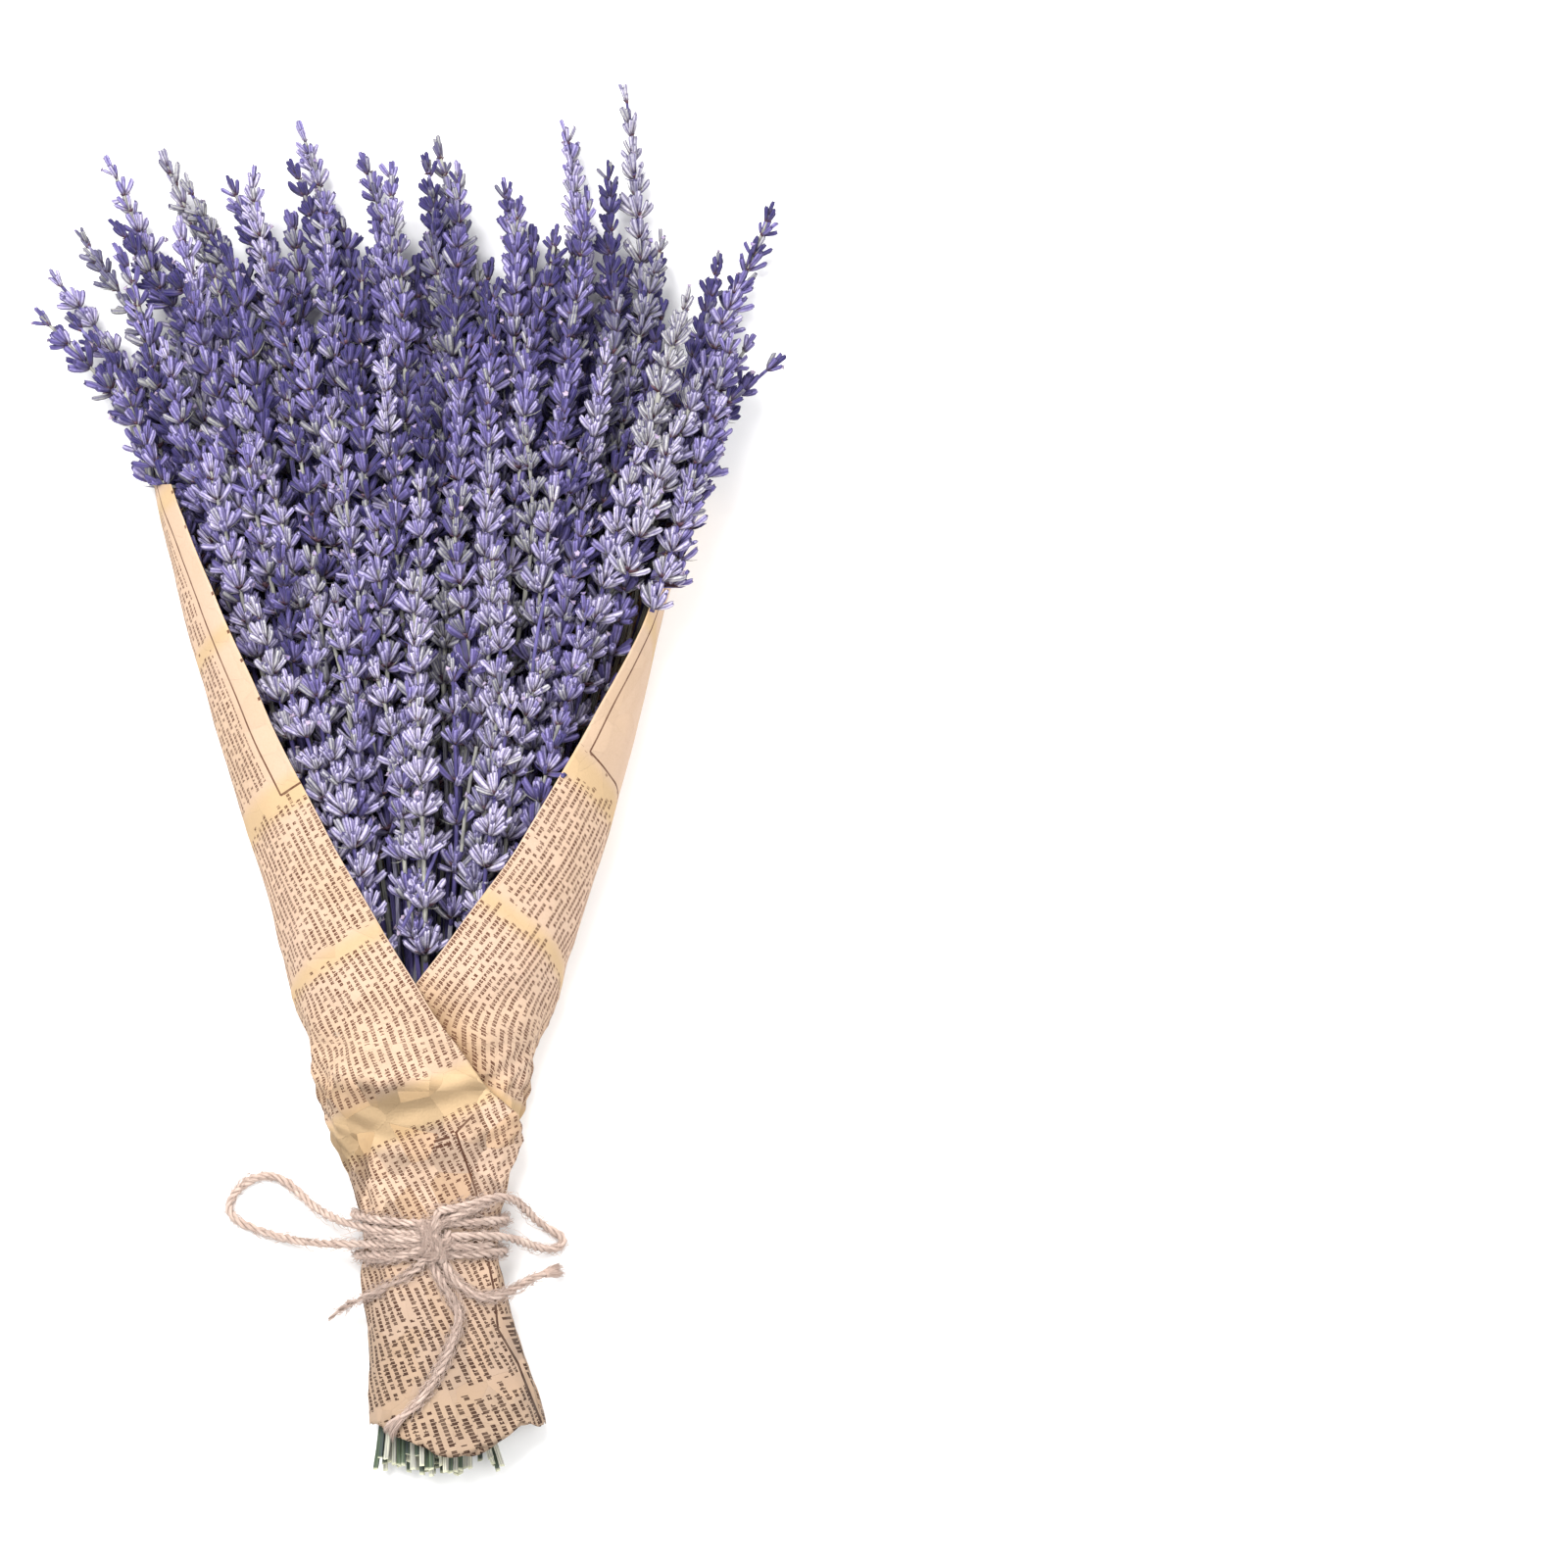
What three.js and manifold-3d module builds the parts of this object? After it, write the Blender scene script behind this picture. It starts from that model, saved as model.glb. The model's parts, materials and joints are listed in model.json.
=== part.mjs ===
// A tied bunch of dried lavender, wrapped in a sheet of paper, lying on its back.
// Millimetres. +Y runs from the cut stems to the flower tips and +Z is up, away from the surface.
// Everything is laid out from the tie at Y = 0; the last lines move the whole bunch to its origin.

import * as THREE from 'three';
import { mergeVertices } from 'three/addons/utils/BufferGeometryUtils.js';
import Module from 'manifold-3d';

// ---------------------------------------------------------------- driving dimensions

const GAP = 0.3;                  // clearance between pieces that touch
const TIE_X = 2.8;                // middle of the bundle at the tie
const TIE_HALF = 7;               // stems are pressed together this far each side of the tie

const STEM_WIDTH = 2.1;           // square stems
const STEM_PITCH = 2.75;          // side by side in a layer at the tie
const LAYER_PITCH = 2.75;         // layer above layer at the tie
const PRESSED_HEIGHT = 2.35;      // height of a layer where the tie presses it
const CUT_Y = -70;                // cut ends, give or take CUT_SPREAD
const CUT_SPREAD = 4;
const CUT_SPLAY = 1.06;           // the cut ends fan out by this factor

const BARE_RISE = 9.2;            // a flowering layer above a bare one
const FLOWER_RISE = 14;           // a flowering layer above a flowering one

const WHORL_RADIUS = 7.2;         // reach of the calyxes round the rachis
const WHORL_SPACING = 13.8;
const CALYX_RISE = 8.4;           // from a whorl's foot to its calyx tips
const FLORETS = 6;                // calyxes in a whorl
const NOTCH = 0.56;               // the notches between calyxes, as a share of their reach
const RACHIS = 0.95;              // half diagonal of the rachis
const MAX_SPIKE = 86;             // longest flowering length

const PAPER = 0.7;                // paper thickness
const FLAP_LIFT = 1.1;            // the left flap lies this far above the right one

const TWINE = 2.8;                // twine diameter

// Layers of stems, from the surface up: where the lowest flowers of the layer
// start, how far the outer stems have spread there, and the tips of the spikes as [x, y].
// A layer with no list of tips has them worked out from its count and its mean tip height.
const LAYERS = [
  {
    base: 243, spread: 80, tips: [
      [-115.5, 296], [-96.6, 329], [-79, 330], [-59.4, 323], [-38, 340], [-18, 330],
      [5.1, 334], [25, 322], [44.1, 339], [62, 351], [106.5, 315],
    ],
  },
  {
    base: 215, spread: 68, tips: [
      [-91.5, 300], [-73.5, 308], [-52, 324], [-30, 317], [-9, 327],
      [11, 326], [30, 314], [51, 318], [74, 305], [101.4, 275],
    ],
  },
  { base: 186, spread: 57, count: 8, tipY: 272 },
  { base: 148, spread: 43, count: 7, tipY: 234 },
  { base: 114, spread: 31, count: 5, tipY: 199 },
  { base: 84, spread: 15, count: 3, tipY: 165 },
];
const FAN_X = 1.2;                // middle of the fan at the flowers
const TIP_JITTER_X = 3;
const TIP_JITTER_Y = 7;

// Heights along the bunch: stations in Y, and the height of the lowest layer at each.
const STATIONS = [-75, -TIE_HALF, TIE_HALF, 40, 75, 110, 145, 180, 215, 250, 285, 360];
const FLOOR_LAYER_Z = [4.8, 5.9, 5.9, 4.6, 3, 2.8, 2.8, 3.2, 5.6, 8.6, 9.2, 9.6];
const RISE_LEAD = 62;             // a layer starts to rise this far before its first flowers

// The paper wrap, level by level: y, left and right reach, underside and top, and where the right
// and the left free edges lie on the section (in steps of SECTION, past its end for the left).
const WRAP = [
  { y: -58, left: -15.8, right: 37.6, low: 1.4, high: 24, start: -1.3, end: 17.9 },
  { y: -34, left: -16, right: 29, low: 2.4, high: 23.6, start: -1.5, end: 18 },
  { y: -10, left: -17.2, right: 22, low: 3.6, high: 23.4, start: -1.5, end: 18.2 },
  { y: 10, left: -18.6, right: 23.2, low: 3.6, high: 23.4, start: -1.5, end: 18.2 },
  { y: 30, left: -25, right: 26.6, low: 2, high: 28, start: -1.2, end: 18.1 },
  { y: 46, left: -30.3, right: 30, low: 0.8, high: 32, start: -0.9, end: 16.2 },
  { y: 66, left: -36.5, right: 37, low: 0, high: 36.5, start: -0.5, end: 15.25 },
  { y: 88, left: -43, right: 46, low: 0, high: 42.5, start: 0.25, end: 14.6 },
  { y: 115, left: -50.5, right: 54.5, low: 0, high: 49.5, start: 0.95, end: 14.05 },
  { y: 150, left: -61, right: 64, low: 0, high: 56, start: 1.8, end: 13.45 },
  { y: 190, left: -73.5, right: 74, low: 0, high: 61, start: 2.75, end: 13 },
  { y: 230, left: -82, right: 86, low: 0, high: 62, start: 2.7, end: 12.3 },
];
// The section round the bunch, from the top over the right side, along the flat underside and up
// the left side: x over the half width, z over the height.
const SECTION = [
  [0, 1], [0.5, 0.93], [0.8, 0.76], [0.97, 0.5], [1, 0.27], [0.98, 0.08], [0.9, 0], [0.3, 0],
  [-0.3, 0], [-0.9, 0], [-0.98, 0.08], [-1, 0.27], [-0.97, 0.5], [-0.8, 0.76], [-0.5, 0.93],
];
const RIGHT_FLAP_POINTS = 5;      // points across the right flap, above the fixed side points
const LEFT_FLAP_POINTS = 7;
const FIRST_SIDE = 3;             // fixed points of the section, from the right side
const LAST_SIDE = 12;             // round to the left side
const HEM_DIP = 9;                // the lower hem dips this far at the front, right of the middle

// Routes of the free twine, point by point.
const LEFT_LOOP = [
  [-0.8, 0.75, 26.4], [-5, 1, 25.7], [-10, 1.5, 24.3], [-15, 2.2, 21.8], [-19.6, 3, 18],
  [-26, 4.6, 12.8], [-33.4, 8.4, 7.8], [-38.6, 12.9, 4.8], [-43.5, 16.5, 2.8], [-48.8, 17.8, 1.7],
  [-54.5, 15.8, 1.5], [-58.9, 11.6, 1.5], [-60.2, 7.4, 1.5], [-57.4, 3.8, 1.6], [-51.5, 1.2, 2.4],
  [-45, -0.8, 4], [-38, -2.2, 6.8], [-31, -2.7, 10.4], [-24.5, -2.7, 14.6], [-19.4, -2.5, 18],
  [-15, -2.4, 21.2], [-10, -2.4, 24], [-5, -2.4, 25.6], [-0.8, -2.4, 26.4],
];
const RIGHT_LOOP = [
  [5.2, 7.9, 26.9], [10, 8.8, 25.6], [15.4, 10.1, 24], [20.2, 11.4, 21.5], [24.4, 11.9, 18],
  [28.2, 10.6, 13.8], [31.6, 7.6, 10], [34.8, 4.2, 7], [38.2, 1.6, 4.4], [41.4, -0.2, 2.4],
  [42.8, -2.8, 1.7], [40.4, -4.6, 2.6], [36, -4.4, 5.6], [31.8, -2.8, 9.4], [27.6, -1.2, 14],
  [24, -0.2, 18.2], [19.6, 0.2, 21.4], [14, 0.2, 24.2], [8.5, 0.2, 26.2],
];
const RIGHT_TAIL = [
  [6.8, -7.9, 26.4], [8.8, -11.4, 25.9], [12.4, -15.4, 25.2], [17, -18.2, 23.8],
  [22.2, -18.6, 21.2], [27.4, -16.8, 17.2], [32.6, -14, 12.2], [38.2, -11.9, 7.2],
  [42.4, -11.1, 4], [45.4, -11.3, 2.6],
];
const LONG_TAIL = [
  [3.4, -7.9, 26.4], [5.2, -12, 26.3], [8.2, -17, 26.2], [10.8, -21.8, 26], [11.4, -25.6, 26],
  [9.9, -30.5, 26.4], [8, -36, 26.6], [4.8, -42, 26.7], [1.5, -47.4, 26.6], [-2.2, -52, 26.2],
  [-7, -56.2, 25.2], [-9.9, -59.8, 23.8], [-9.8, -63.6, 22.2],
];
const LEFT_TAIL = [
  [-0.4, -8.7, 26.4], [-3.4, -11.2, 25.7], [-8, -14, 24.2], [-13, -16.6, 21.8], [-17.8, -18.8, 17.8],
  [-22.4, -21.2, 12.6], [-26.2, -23.8, 7.4], [-29.4, -26.6, 3.2],
];
const TWINE_STEP = 7;             // one ring of a tube every 2.5 diameters

// The band: two wraps, with the height along the bunch of each where it crosses the front, the
// right side, the back and the left side, and the knot that joins them.
const BAND_WRAPS = [
  { front: 4.2, right: 4.8, back: 3.4, left: 6.4 },
  { front: -5.6, right: -5, back: -4.6, left: -6.2 },
];
const KNOT = { x: 4, y: -0.6, z: 27.9, rx: 4.4, ry: 6.6, rz: 3.2 };

// ---------------------------------------------------------------- colours

const COLOURS = {
  calyx: { color: 0x8a84b8, roughness: 0.85, metalness: 0 },
  stem: { color: 0x8f9a7c, roughness: 0.8, metalness: 0 },
  paper: { color: 0xf4dcb2, roughness: 0.9, metalness: 0 },
  twine: { color: 0xcdb4a4, roughness: 0.95, metalness: 0 },
};

function material(slot) {
  return new THREE.MeshStandardMaterial({ ...COLOURS[slot], name: slot });
}

// ---------------------------------------------------------------- small helpers

// A repeatable draw from -1 to 1 for a pair of whole numbers.
function draw(a, b) {
  const value = Math.sin(a * 12.9898 + b * 78.233 + 3.7) * 43758.5453;
  return (value - Math.floor(value)) * 2 - 1;
}

function mix(a, b, t) {
  return a + (b - a) * t;
}

// Straight-line reading of a table of heights at the given stations.
function readTable(stations, values, y) {
  let i = 0;
  while (i < stations.length - 2 && y > stations[i + 1]) i += 1;
  return mix(values[i], values[i + 1], (y - stations[i]) / (stations[i + 1] - stations[i]));
}

// A mesh under construction: points, and faces given counter-clockwise from outside.
class Shell {
  constructor() {
    this.points = [];
    this.faces = [];
  }

  point(vector) {
    this.points.push(vector.x, vector.y, vector.z);
    return this.points.length / 3 - 1;
  }

  triangle(a, b, c) {
    this.faces.push(a, b, c);
  }

  quad(a, b, c, d) {
    this.triangle(a, b, c);
    this.triangle(a, c, d);
  }

  // The side between two rings of the same count; the second ring is further along the axis that
  // the rings turn round counter-clockwise.
  tube(lower, upper) {
    for (let i = 0; i < lower.length; i += 1) {
      const j = (i + 1) % lower.length;
      this.quad(lower[i], lower[j], upper[j], upper[i]);
    }
  }

  geometry() {
    const geometry = new THREE.BufferGeometry();
    geometry.setAttribute('position', new THREE.Float32BufferAttribute(this.points, 3));
    geometry.setIndex(this.faces);
    geometry.computeVertexNormals();
    return geometry;
  }
}

function namedMesh(name, geometry, slot) {
  const mesh = new THREE.Mesh(geometry, material(slot));
  mesh.name = name;
  return mesh;
}

// ---------------------------------------------------------------- where the stems run

// Height of a layer at each station: every layer lies on the one below it, pressed close at the
// tie, and lifts off to make room where it, and then the one below it, starts to flower.
function layerHeights() {
  const heights = [FLOOR_LAYER_Z];
  for (let k = 1; k < LAYERS.length; k += 1) {
    const own = LAYERS[k].base;
    const below = LAYERS[k - 1].base;
    const rise = (y) => {
      if (y <= own - RISE_LEAD) return LAYER_PITCH;
      if (y <= own) return mix(LAYER_PITCH, BARE_RISE, (y - own + RISE_LEAD) / RISE_LEAD);
      if (y <= below) return mix(BARE_RISE, FLOWER_RISE, (y - own) / (below - own));
      return FLOWER_RISE;
    };
    heights.push(STATIONS.map((y, i) => heights[k - 1][i] + rise(y)));
  }
  return heights;
}

const HEIGHTS = layerHeights();

// The stems of a layer, left to right: each has its place at the tie, its place at the layer's
// first flowers, the tip of its spike and the height where its own flowers start.
function layerStems(k) {
  const layer = LAYERS[k];
  const count = layer.tips ? layer.tips.length : layer.count;
  const stems = [];
  for (let i = 0; i < count; i += 1) {
    const across = i / (count - 1) * 2 - 1;
    const tieX = TIE_X + (i - (count - 1) / 2) * STEM_PITCH;
    const baseX = FAN_X + across * layer.spread;
    const slope = (baseX - tieX) / (layer.base - TIE_HALF);
    let tip;
    if (layer.tips) {
      tip = new THREE.Vector2(...layer.tips[i]);
    } else {
      const tipY = layer.tipY + draw(k, i) * TIP_JITTER_Y;
      tip = new THREE.Vector2(baseX + slope * (tipY - layer.base) + draw(i, k + 9) * TIP_JITTER_X, tipY);
    }
    const flowersFrom = Math.max(layer.base, tip.y - MAX_SPIKE);
    stems.push({ k, i, tieX, baseX, slope, baseY: layer.base, tip, flowersFrom });
  }
  return stems;
}

// A point on a stem's middle line at height y along the bunch.
function stemPoint(stem, y) {
  let x;
  if (y < -TIE_HALF) {
    const out = (-TIE_HALF - y) / (-TIE_HALF - CUT_Y);
    x = TIE_X + (stem.tieX - TIE_X) * mix(1, CUT_SPLAY, out);
  } else if (y <= TIE_HALF) {
    x = stem.tieX;
  } else {
    x = stem.tieX + stem.slope * (y - TIE_HALF);
    if (y > stem.baseY) {
      const straight = stem.baseX + stem.slope * (stem.tip.y - stem.baseY);
      const along = (y - stem.baseY) / (stem.tip.y - stem.baseY);
      x += (stem.tip.x - straight) * along ** 1.5;
    }
  }
  return new THREE.Vector3(x, y, readTable(STATIONS, HEIGHTS[stem.k], y));
}

// Directions at a point of a stem: along it, to its left and up from it.
function stemFrame(stem, y) {
  const along = stemPoint(stem, y + 1).sub(stemPoint(stem, y - 1)).normalize();
  const left = new THREE.Vector3().crossVectors(new THREE.Vector3(0, 0, 1), along).normalize();
  const up = new THREE.Vector3().crossVectors(along, left);
  return { along, left, up };
}

// ---------------------------------------------------------------- stems

// One layer of square stems. Between the two ends of the tie, neighbours share their sides, so
// the layer is one body; above and below it, each stem is free.
function stemLayer(k) {
  const stems = layerStems(k);
  const shell = new Shell();
  const half = STEM_WIDTH / 2;

  // The shared corners at both ends of the tie: [top, bottom] at each side between stems.
  const corners = [-TIE_HALF, TIE_HALF].map((y) => {
    const rows = [];
    for (let i = 0; i <= stems.length; i += 1) {
      const x = stems[0].tieX + (i - 0.5) * STEM_PITCH;
      const z = readTable(STATIONS, HEIGHTS[k], y);
      rows.push([
        shell.point(new THREE.Vector3(x, y, z + PRESSED_HEIGHT / 2)),
        shell.point(new THREE.Vector3(x, y, z - PRESSED_HEIGHT / 2)),
      ]);
    }
    return rows;
  });
  const [lower, upper] = corners;
  const last = stems.length;
  for (let i = 0; i < last; i += 1) {
    shell.quad(lower[i][0], lower[i + 1][0], upper[i + 1][0], upper[i][0]);
    shell.quad(lower[i + 1][1], lower[i][1], upper[i][1], upper[i + 1][1]);
  }
  shell.quad(lower[0][1], lower[0][0], upper[0][0], upper[0][1]);
  shell.quad(lower[last][0], lower[last][1], upper[last][1], upper[last][0]);

  // Ring of a free stem: top left, bottom left, bottom right, top right, counter-clockwise as
  // seen from the flowers.
  const ring = (stem, y) => {
    const { left, up } = stemFrame(stem, y);
    return [[1, 1], [1, -1], [-1, -1], [-1, 1]].map(([toLeft, toTop]) => shell.point(
      stemPoint(stem, y).addScaledVector(left, toLeft * half).addScaledVector(up, toTop * half),
    ));
  };
  const shared = (rows, i) => [rows[i][0], rows[i][1], rows[i + 1][1], rows[i + 1][0]];

  stems.forEach((stem, i) => {
    let previous = shared(upper, i);
    const stops = STATIONS.filter((y) => y > TIE_HALF && y < stem.flowersFrom - 8);
    for (const y of [...stops, stem.flowersFrom]) {
      const next = ring(stem, y);
      shell.tube(next, previous);
      previous = next;
    }
    shell.quad(previous[3], previous[2], previous[1], previous[0]);

    const end = ring(stem, CUT_Y + draw(i, k) * CUT_SPREAD);
    shell.tube(shared(lower, i), end);
    shell.quad(end[0], end[1], end[2], end[3]);
  });
  return shell.geometry();
}

// ---------------------------------------------------------------- spikes

// The rim of one whorl: a blunt calyx tip and a notch in turn, all the way round.
function whorlRim(turn, radius, rise, seed) {
  const rim = [];
  for (let n = 0; n < FLORETS; n += 1) {
    const angle = turn + n / FLORETS * Math.PI * 2;
    const step = Math.PI / FLORETS;
    rim.push({ angle, radius: radius * NOTCH, rise: rise * NOTCH });
    const reach = radius * (1 + draw(seed, n) * 0.05);
    rim.push({ angle: angle + step, radius: reach, rise: rise * (1 + draw(n, seed) * 0.1) });
  }
  return rim;
}

// Joins a ring of four points to a rim of many, each rim side to the nearest ring point by angle.
// `outward` says which way the faces look: true for the outside, false for the inside of the cup.
function fan(shell, ring, ringTurn, rim, rimIds, outward) {
  const face = outward ? (a, b, c) => shell.triangle(a, b, c) : (a, b, c) => shell.triangle(a, c, b);
  const quarter = Math.PI / 2;
  const nearest = (angle) => Math.round((angle - ringTurn) / quarter);
  for (let n = 0; n < rim.length; n += 1) {
    const m = (n + 1) % rim.length;
    const wrap = n + 1 === rim.length ? Math.PI * 2 : 0;
    const a = nearest(rim[n].angle);
    const middle = nearest((rim[n].angle + rim[m].angle + wrap) / 2);
    const b = nearest(rim[m].angle + wrap);
    const id = (i) => ring[((i % 4) + 4) % 4];
    if (middle !== a) face(id(a), id(middle), rimIds[n]);
    face(id(middle), rimIds[m], rimIds[n]);
    if (middle !== b) face(id(middle), id(b), rimIds[m]);
  }
}

// One flowering spike: a square rachis with cup-shaped whorls of calyxes, closing to a bud.
function spike(stem) {
  const shell = new Shell();
  const start = stem.flowersFrom;
  const length = stem.tip.y - start;
  const whorls = Math.max(3, Math.round(length / WHORL_SPACING));
  const ringTurn = Math.PI / 4;
  const seed = stem.k * 20 + stem.i;

  const at = (frame, origin, rise, radius, angle) => origin.clone()
    .addScaledVector(frame.along, rise)
    .addScaledVector(frame.left, radius * Math.cos(angle))
    .addScaledVector(frame.up, radius * Math.sin(angle));
  const ring = (frame, origin, rise, radius) => [0, 1, 2, 3].map((q) => shell.point(
    at(frame, origin, rise, radius, ringTurn + q * Math.PI / 2),
  ));

  const footFrame = stemFrame(stem, start);
  const foot = stemPoint(stem, start).addScaledVector(footFrame.along, GAP);
  let previous = ring(footFrame, foot, 0, RACHIS);
  shell.quad(previous[3], previous[2], previous[1], previous[0]);
  let frame;
  let origin;
  let top;
  for (let w = 0; w < whorls; w += 1) {
    // Whorls stand a little closer together towards the tip.
    const share = (w + 0.25) / whorls;
    const y = start + length * (share + 0.12 * share * (1 - share));
    const taper = share < 0.5 ? 1 : mix(1, 0.55, (share - 0.5) * 2);
    const size = taper * (0.96 + 0.04 * draw(w, seed));
    frame = stemFrame(stem, y);
    origin = stemPoint(stem, y);
    const lower = ring(frame, origin, 0, RACHIS);
    // The rings turn counter-clockwise round the axis as seen from the tip.
    shell.tube(previous, lower);
    const rise = CALYX_RISE * (0.6 + 0.4 * size);
    const turn = (w % 2) * Math.PI / FLORETS + 0.1 * draw(seed, w);
    const rim = whorlRim(turn, WHORL_RADIUS * size, rise, seed + w);
    const rimIds = rim.map((p) => shell.point(at(frame, origin, p.rise, p.radius, p.angle)));
    fan(shell, lower, ringTurn, rim, rimIds, true);
    top = rise * 0.55;
    const upper = ring(frame, origin, top, RACHIS);
    fan(shell, upper, ringTurn, rim, rimIds, false);
    previous = upper;
  }
  const bud = shell.point(at(frame, origin, Math.max(top + 3, stem.tip.y - origin.y), 0, 0));
  previous.forEach((id, q) => shell.triangle(id, previous[(q + 1) % 4], bud));
  return shell.geometry();
}

// ---------------------------------------------------------------- paper

// The reach, height and free edges of the wrap at height y, read straight between its levels.
function wrapLevel(y) {
  const stations = WRAP.map((level) => level.y);
  const read = (key) => readTable(stations, WRAP.map((level) => level[key]), y);
  return {
    left: read('left'), right: read('right'), low: read('low'), high: read('high'),
    start: read('start'), end: read('end'),
  };
}

// A point of the wrap's section: s counts the points of SECTION, round and round.
function sectionPoint(level, s) {
  const count = SECTION.length;
  const turn = ((s % count) + count) % count;
  const i = Math.floor(turn);
  const a = SECTION[i];
  const b = SECTION[(i + 1) % count];
  const t = turn - i;
  const middle = (level.left + level.right) / 2;
  const half = (level.right - level.left) / 2;
  return new THREE.Vector2(
    middle + half * mix(a[0], b[0], t),
    level.low + (level.high - level.low) * mix(a[1], b[1], t),
  );
}

// Outward direction of the section at s.
function sectionNormal(level, s) {
  const ahead = sectionPoint(level, s + 0.5);
  const behind = sectionPoint(level, s - 0.5);
  return new THREE.Vector2(behind.y - ahead.y, ahead.x - behind.x).normalize();
}

// Where the points of one level lie on the section, from the right free edge to the left one.
function wrapStops(level) {
  const stops = [];
  for (let n = 0; n < RIGHT_FLAP_POINTS; n += 1) {
    stops.push(mix(level.start, FIRST_SIDE, n / RIGHT_FLAP_POINTS));
  }
  for (let s = FIRST_SIDE; s <= LAST_SIDE; s += 1) stops.push(s);
  for (let n = 1; n <= LEFT_FLAP_POINTS; n += 1) {
    stops.push(mix(LAST_SIDE, level.end, n / LEFT_FLAP_POINTS));
  }
  return stops;
}

// How far the left flap is lifted to lie over the right one.
function flapLift(s) {
  return FLAP_LIFT * THREE.MathUtils.smoothstep(s, LAST_SIDE - 1.5, LAST_SIDE + 1);
}

// The sheet of paper, as one thin closed shell.
function paperWrap() {
  const shell = new Shell();
  const outer = [];
  const inner = [];
  WRAP.forEach((level, row) => {
    const stops = wrapStops(level);
    const outerRow = [];
    const innerRow = [];
    for (const s of stops) {
      const normal = sectionNormal(level, s);
      const point = sectionPoint(level, s).addScaledVector(normal, flapLift(s));
      const within = point.clone().addScaledVector(normal, -PAPER);
      if (s >= 6 && s <= 9) within.set(point.x, point.y + PAPER);
      // The lower hem dips at the front, right of the middle, and stays level at the back.
      const front = THREE.MathUtils.smoothstep(point.y, level.low + 4, level.high - 6);
      const across = THREE.MathUtils.clamp((point.x - level.left) / (level.right - level.left) * 1.15, 0, 1);
      const dip = row === 0 ? HEM_DIP * front * Math.sin(Math.PI * across ** 1.3) : 0;
      outerRow.push(shell.point(new THREE.Vector3(point.x, level.y - dip, point.y)));
      innerRow.push(shell.point(new THREE.Vector3(within.x, level.y - dip, within.y)));
    }
    outer.push(outerRow);
    inner.push(innerRow);
  });
  const last = outer[0].length - 1;
  for (let row = 0; row < WRAP.length - 1; row += 1) {
    for (let n = 0; n < last; n += 1) {
      shell.quad(outer[row][n], outer[row][n + 1], outer[row + 1][n + 1], outer[row + 1][n]);
      shell.quad(inner[row][n], inner[row + 1][n], inner[row + 1][n + 1], inner[row][n + 1]);
    }
    shell.quad(inner[row][0], outer[row][0], outer[row + 1][0], inner[row + 1][0]);
    shell.quad(outer[row][last], inner[row][last], inner[row + 1][last], outer[row + 1][last]);
  }
  const top = WRAP.length - 1;
  for (let n = 0; n < last; n += 1) {
    shell.quad(outer[0][n], inner[0][n], inner[0][n + 1], outer[0][n + 1]);
    shell.quad(inner[top][n], outer[top][n], outer[top][n + 1], inner[top][n + 1]);
  }
  return shell.geometry();
}

// ---------------------------------------------------------------- twine

function twineOutline(sides) {
  const outline = [];
  for (let n = 0; n < sides; n += 1) {
    const angle = n / sides * Math.PI * 2;
    outline.push(new THREE.Vector2(Math.cos(angle), Math.sin(angle)).multiplyScalar(TWINE / 2));
  }
  return new THREE.Shape(outline);
}

// A closed tube along a curve, its shared points merged.
function twineTube(curve, steps, sides) {
  const geometry = new THREE.ExtrudeGeometry(twineOutline(sides), { steps, extrudePath: curve });
  geometry.deleteAttribute('normal');
  geometry.deleteAttribute('uv');
  const merged = mergeVertices(geometry, 1e-3);
  merged.computeVertexNormals();
  return merged;
}

function freeTwine(name, route) {
  const curve = new THREE.CatmullRomCurve3(route.map((p) => new THREE.Vector3(...p)), false, 'centripetal');
  const steps = Math.round(curve.getLength() / TWINE_STEP * 1.25);
  return namedMesh(name, twineTube(curve, steps, 8), 'twine');
}

// One wrap of the band, as a closed ring lying on the paper.
function bandRing(wrap) {
  const shell = new Shell();
  const steps = SECTION.length;
  const sides = 6;
  const rings = [];
  for (let s = 0; s < steps; s += 1) {
    const angle = Math.PI / 2 - s / steps * Math.PI * 2;
    const vertical = angle > 0 || angle < -Math.PI ? wrap.front : wrap.back;
    const sideways = Math.cos(angle) > 0 ? wrap.right : wrap.left;
    const y = vertical * Math.sin(angle) ** 2 + sideways * Math.cos(angle) ** 2;
    const level = wrapLevel(y);
    const normal = sectionNormal(level, s);
    const lift = FLAP_LIFT * THREE.MathUtils.smoothstep(sectionPoint(level, s).y, level.low + 2, level.low + 8);
    const facet = sectionPoint(level, s + 0.5).sub(sectionPoint(level, s)).normalize();
    const mitre = Math.abs(normal.x * facet.y - normal.y * facet.x);
    const middle = sectionPoint(level, s)
      .addScaledVector(normal, lift + (GAP + TWINE / 2) / mitre);
    const ring = [];
    for (let q = 0; q < sides; q += 1) {
      const turn = q / sides * Math.PI * 2;
      const out = Math.cos(turn) * TWINE / 2;
      ring.push(shell.point(new THREE.Vector3(
        middle.x + normal.x * out, y + Math.sin(turn) * TWINE / 2, middle.y + normal.y * out,
      )));
    }
    rings.push(ring);
  }
  rings.forEach((ring, n) => shell.tube(rings[(n + 1) % steps], ring));
  return shell.geometry();
}

function knot() {
  const geometry = new THREE.SphereGeometry(1, 10, 6);
  geometry.rotateX(Math.PI / 2);
  geometry.scale(KNOT.rx, KNOT.ry, KNOT.rz);
  geometry.translate(KNOT.x, KNOT.y, KNOT.z);
  geometry.deleteAttribute('normal');
  geometry.deleteAttribute('uv');
  return mergeVertices(geometry, 1e-3);
}

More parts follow.
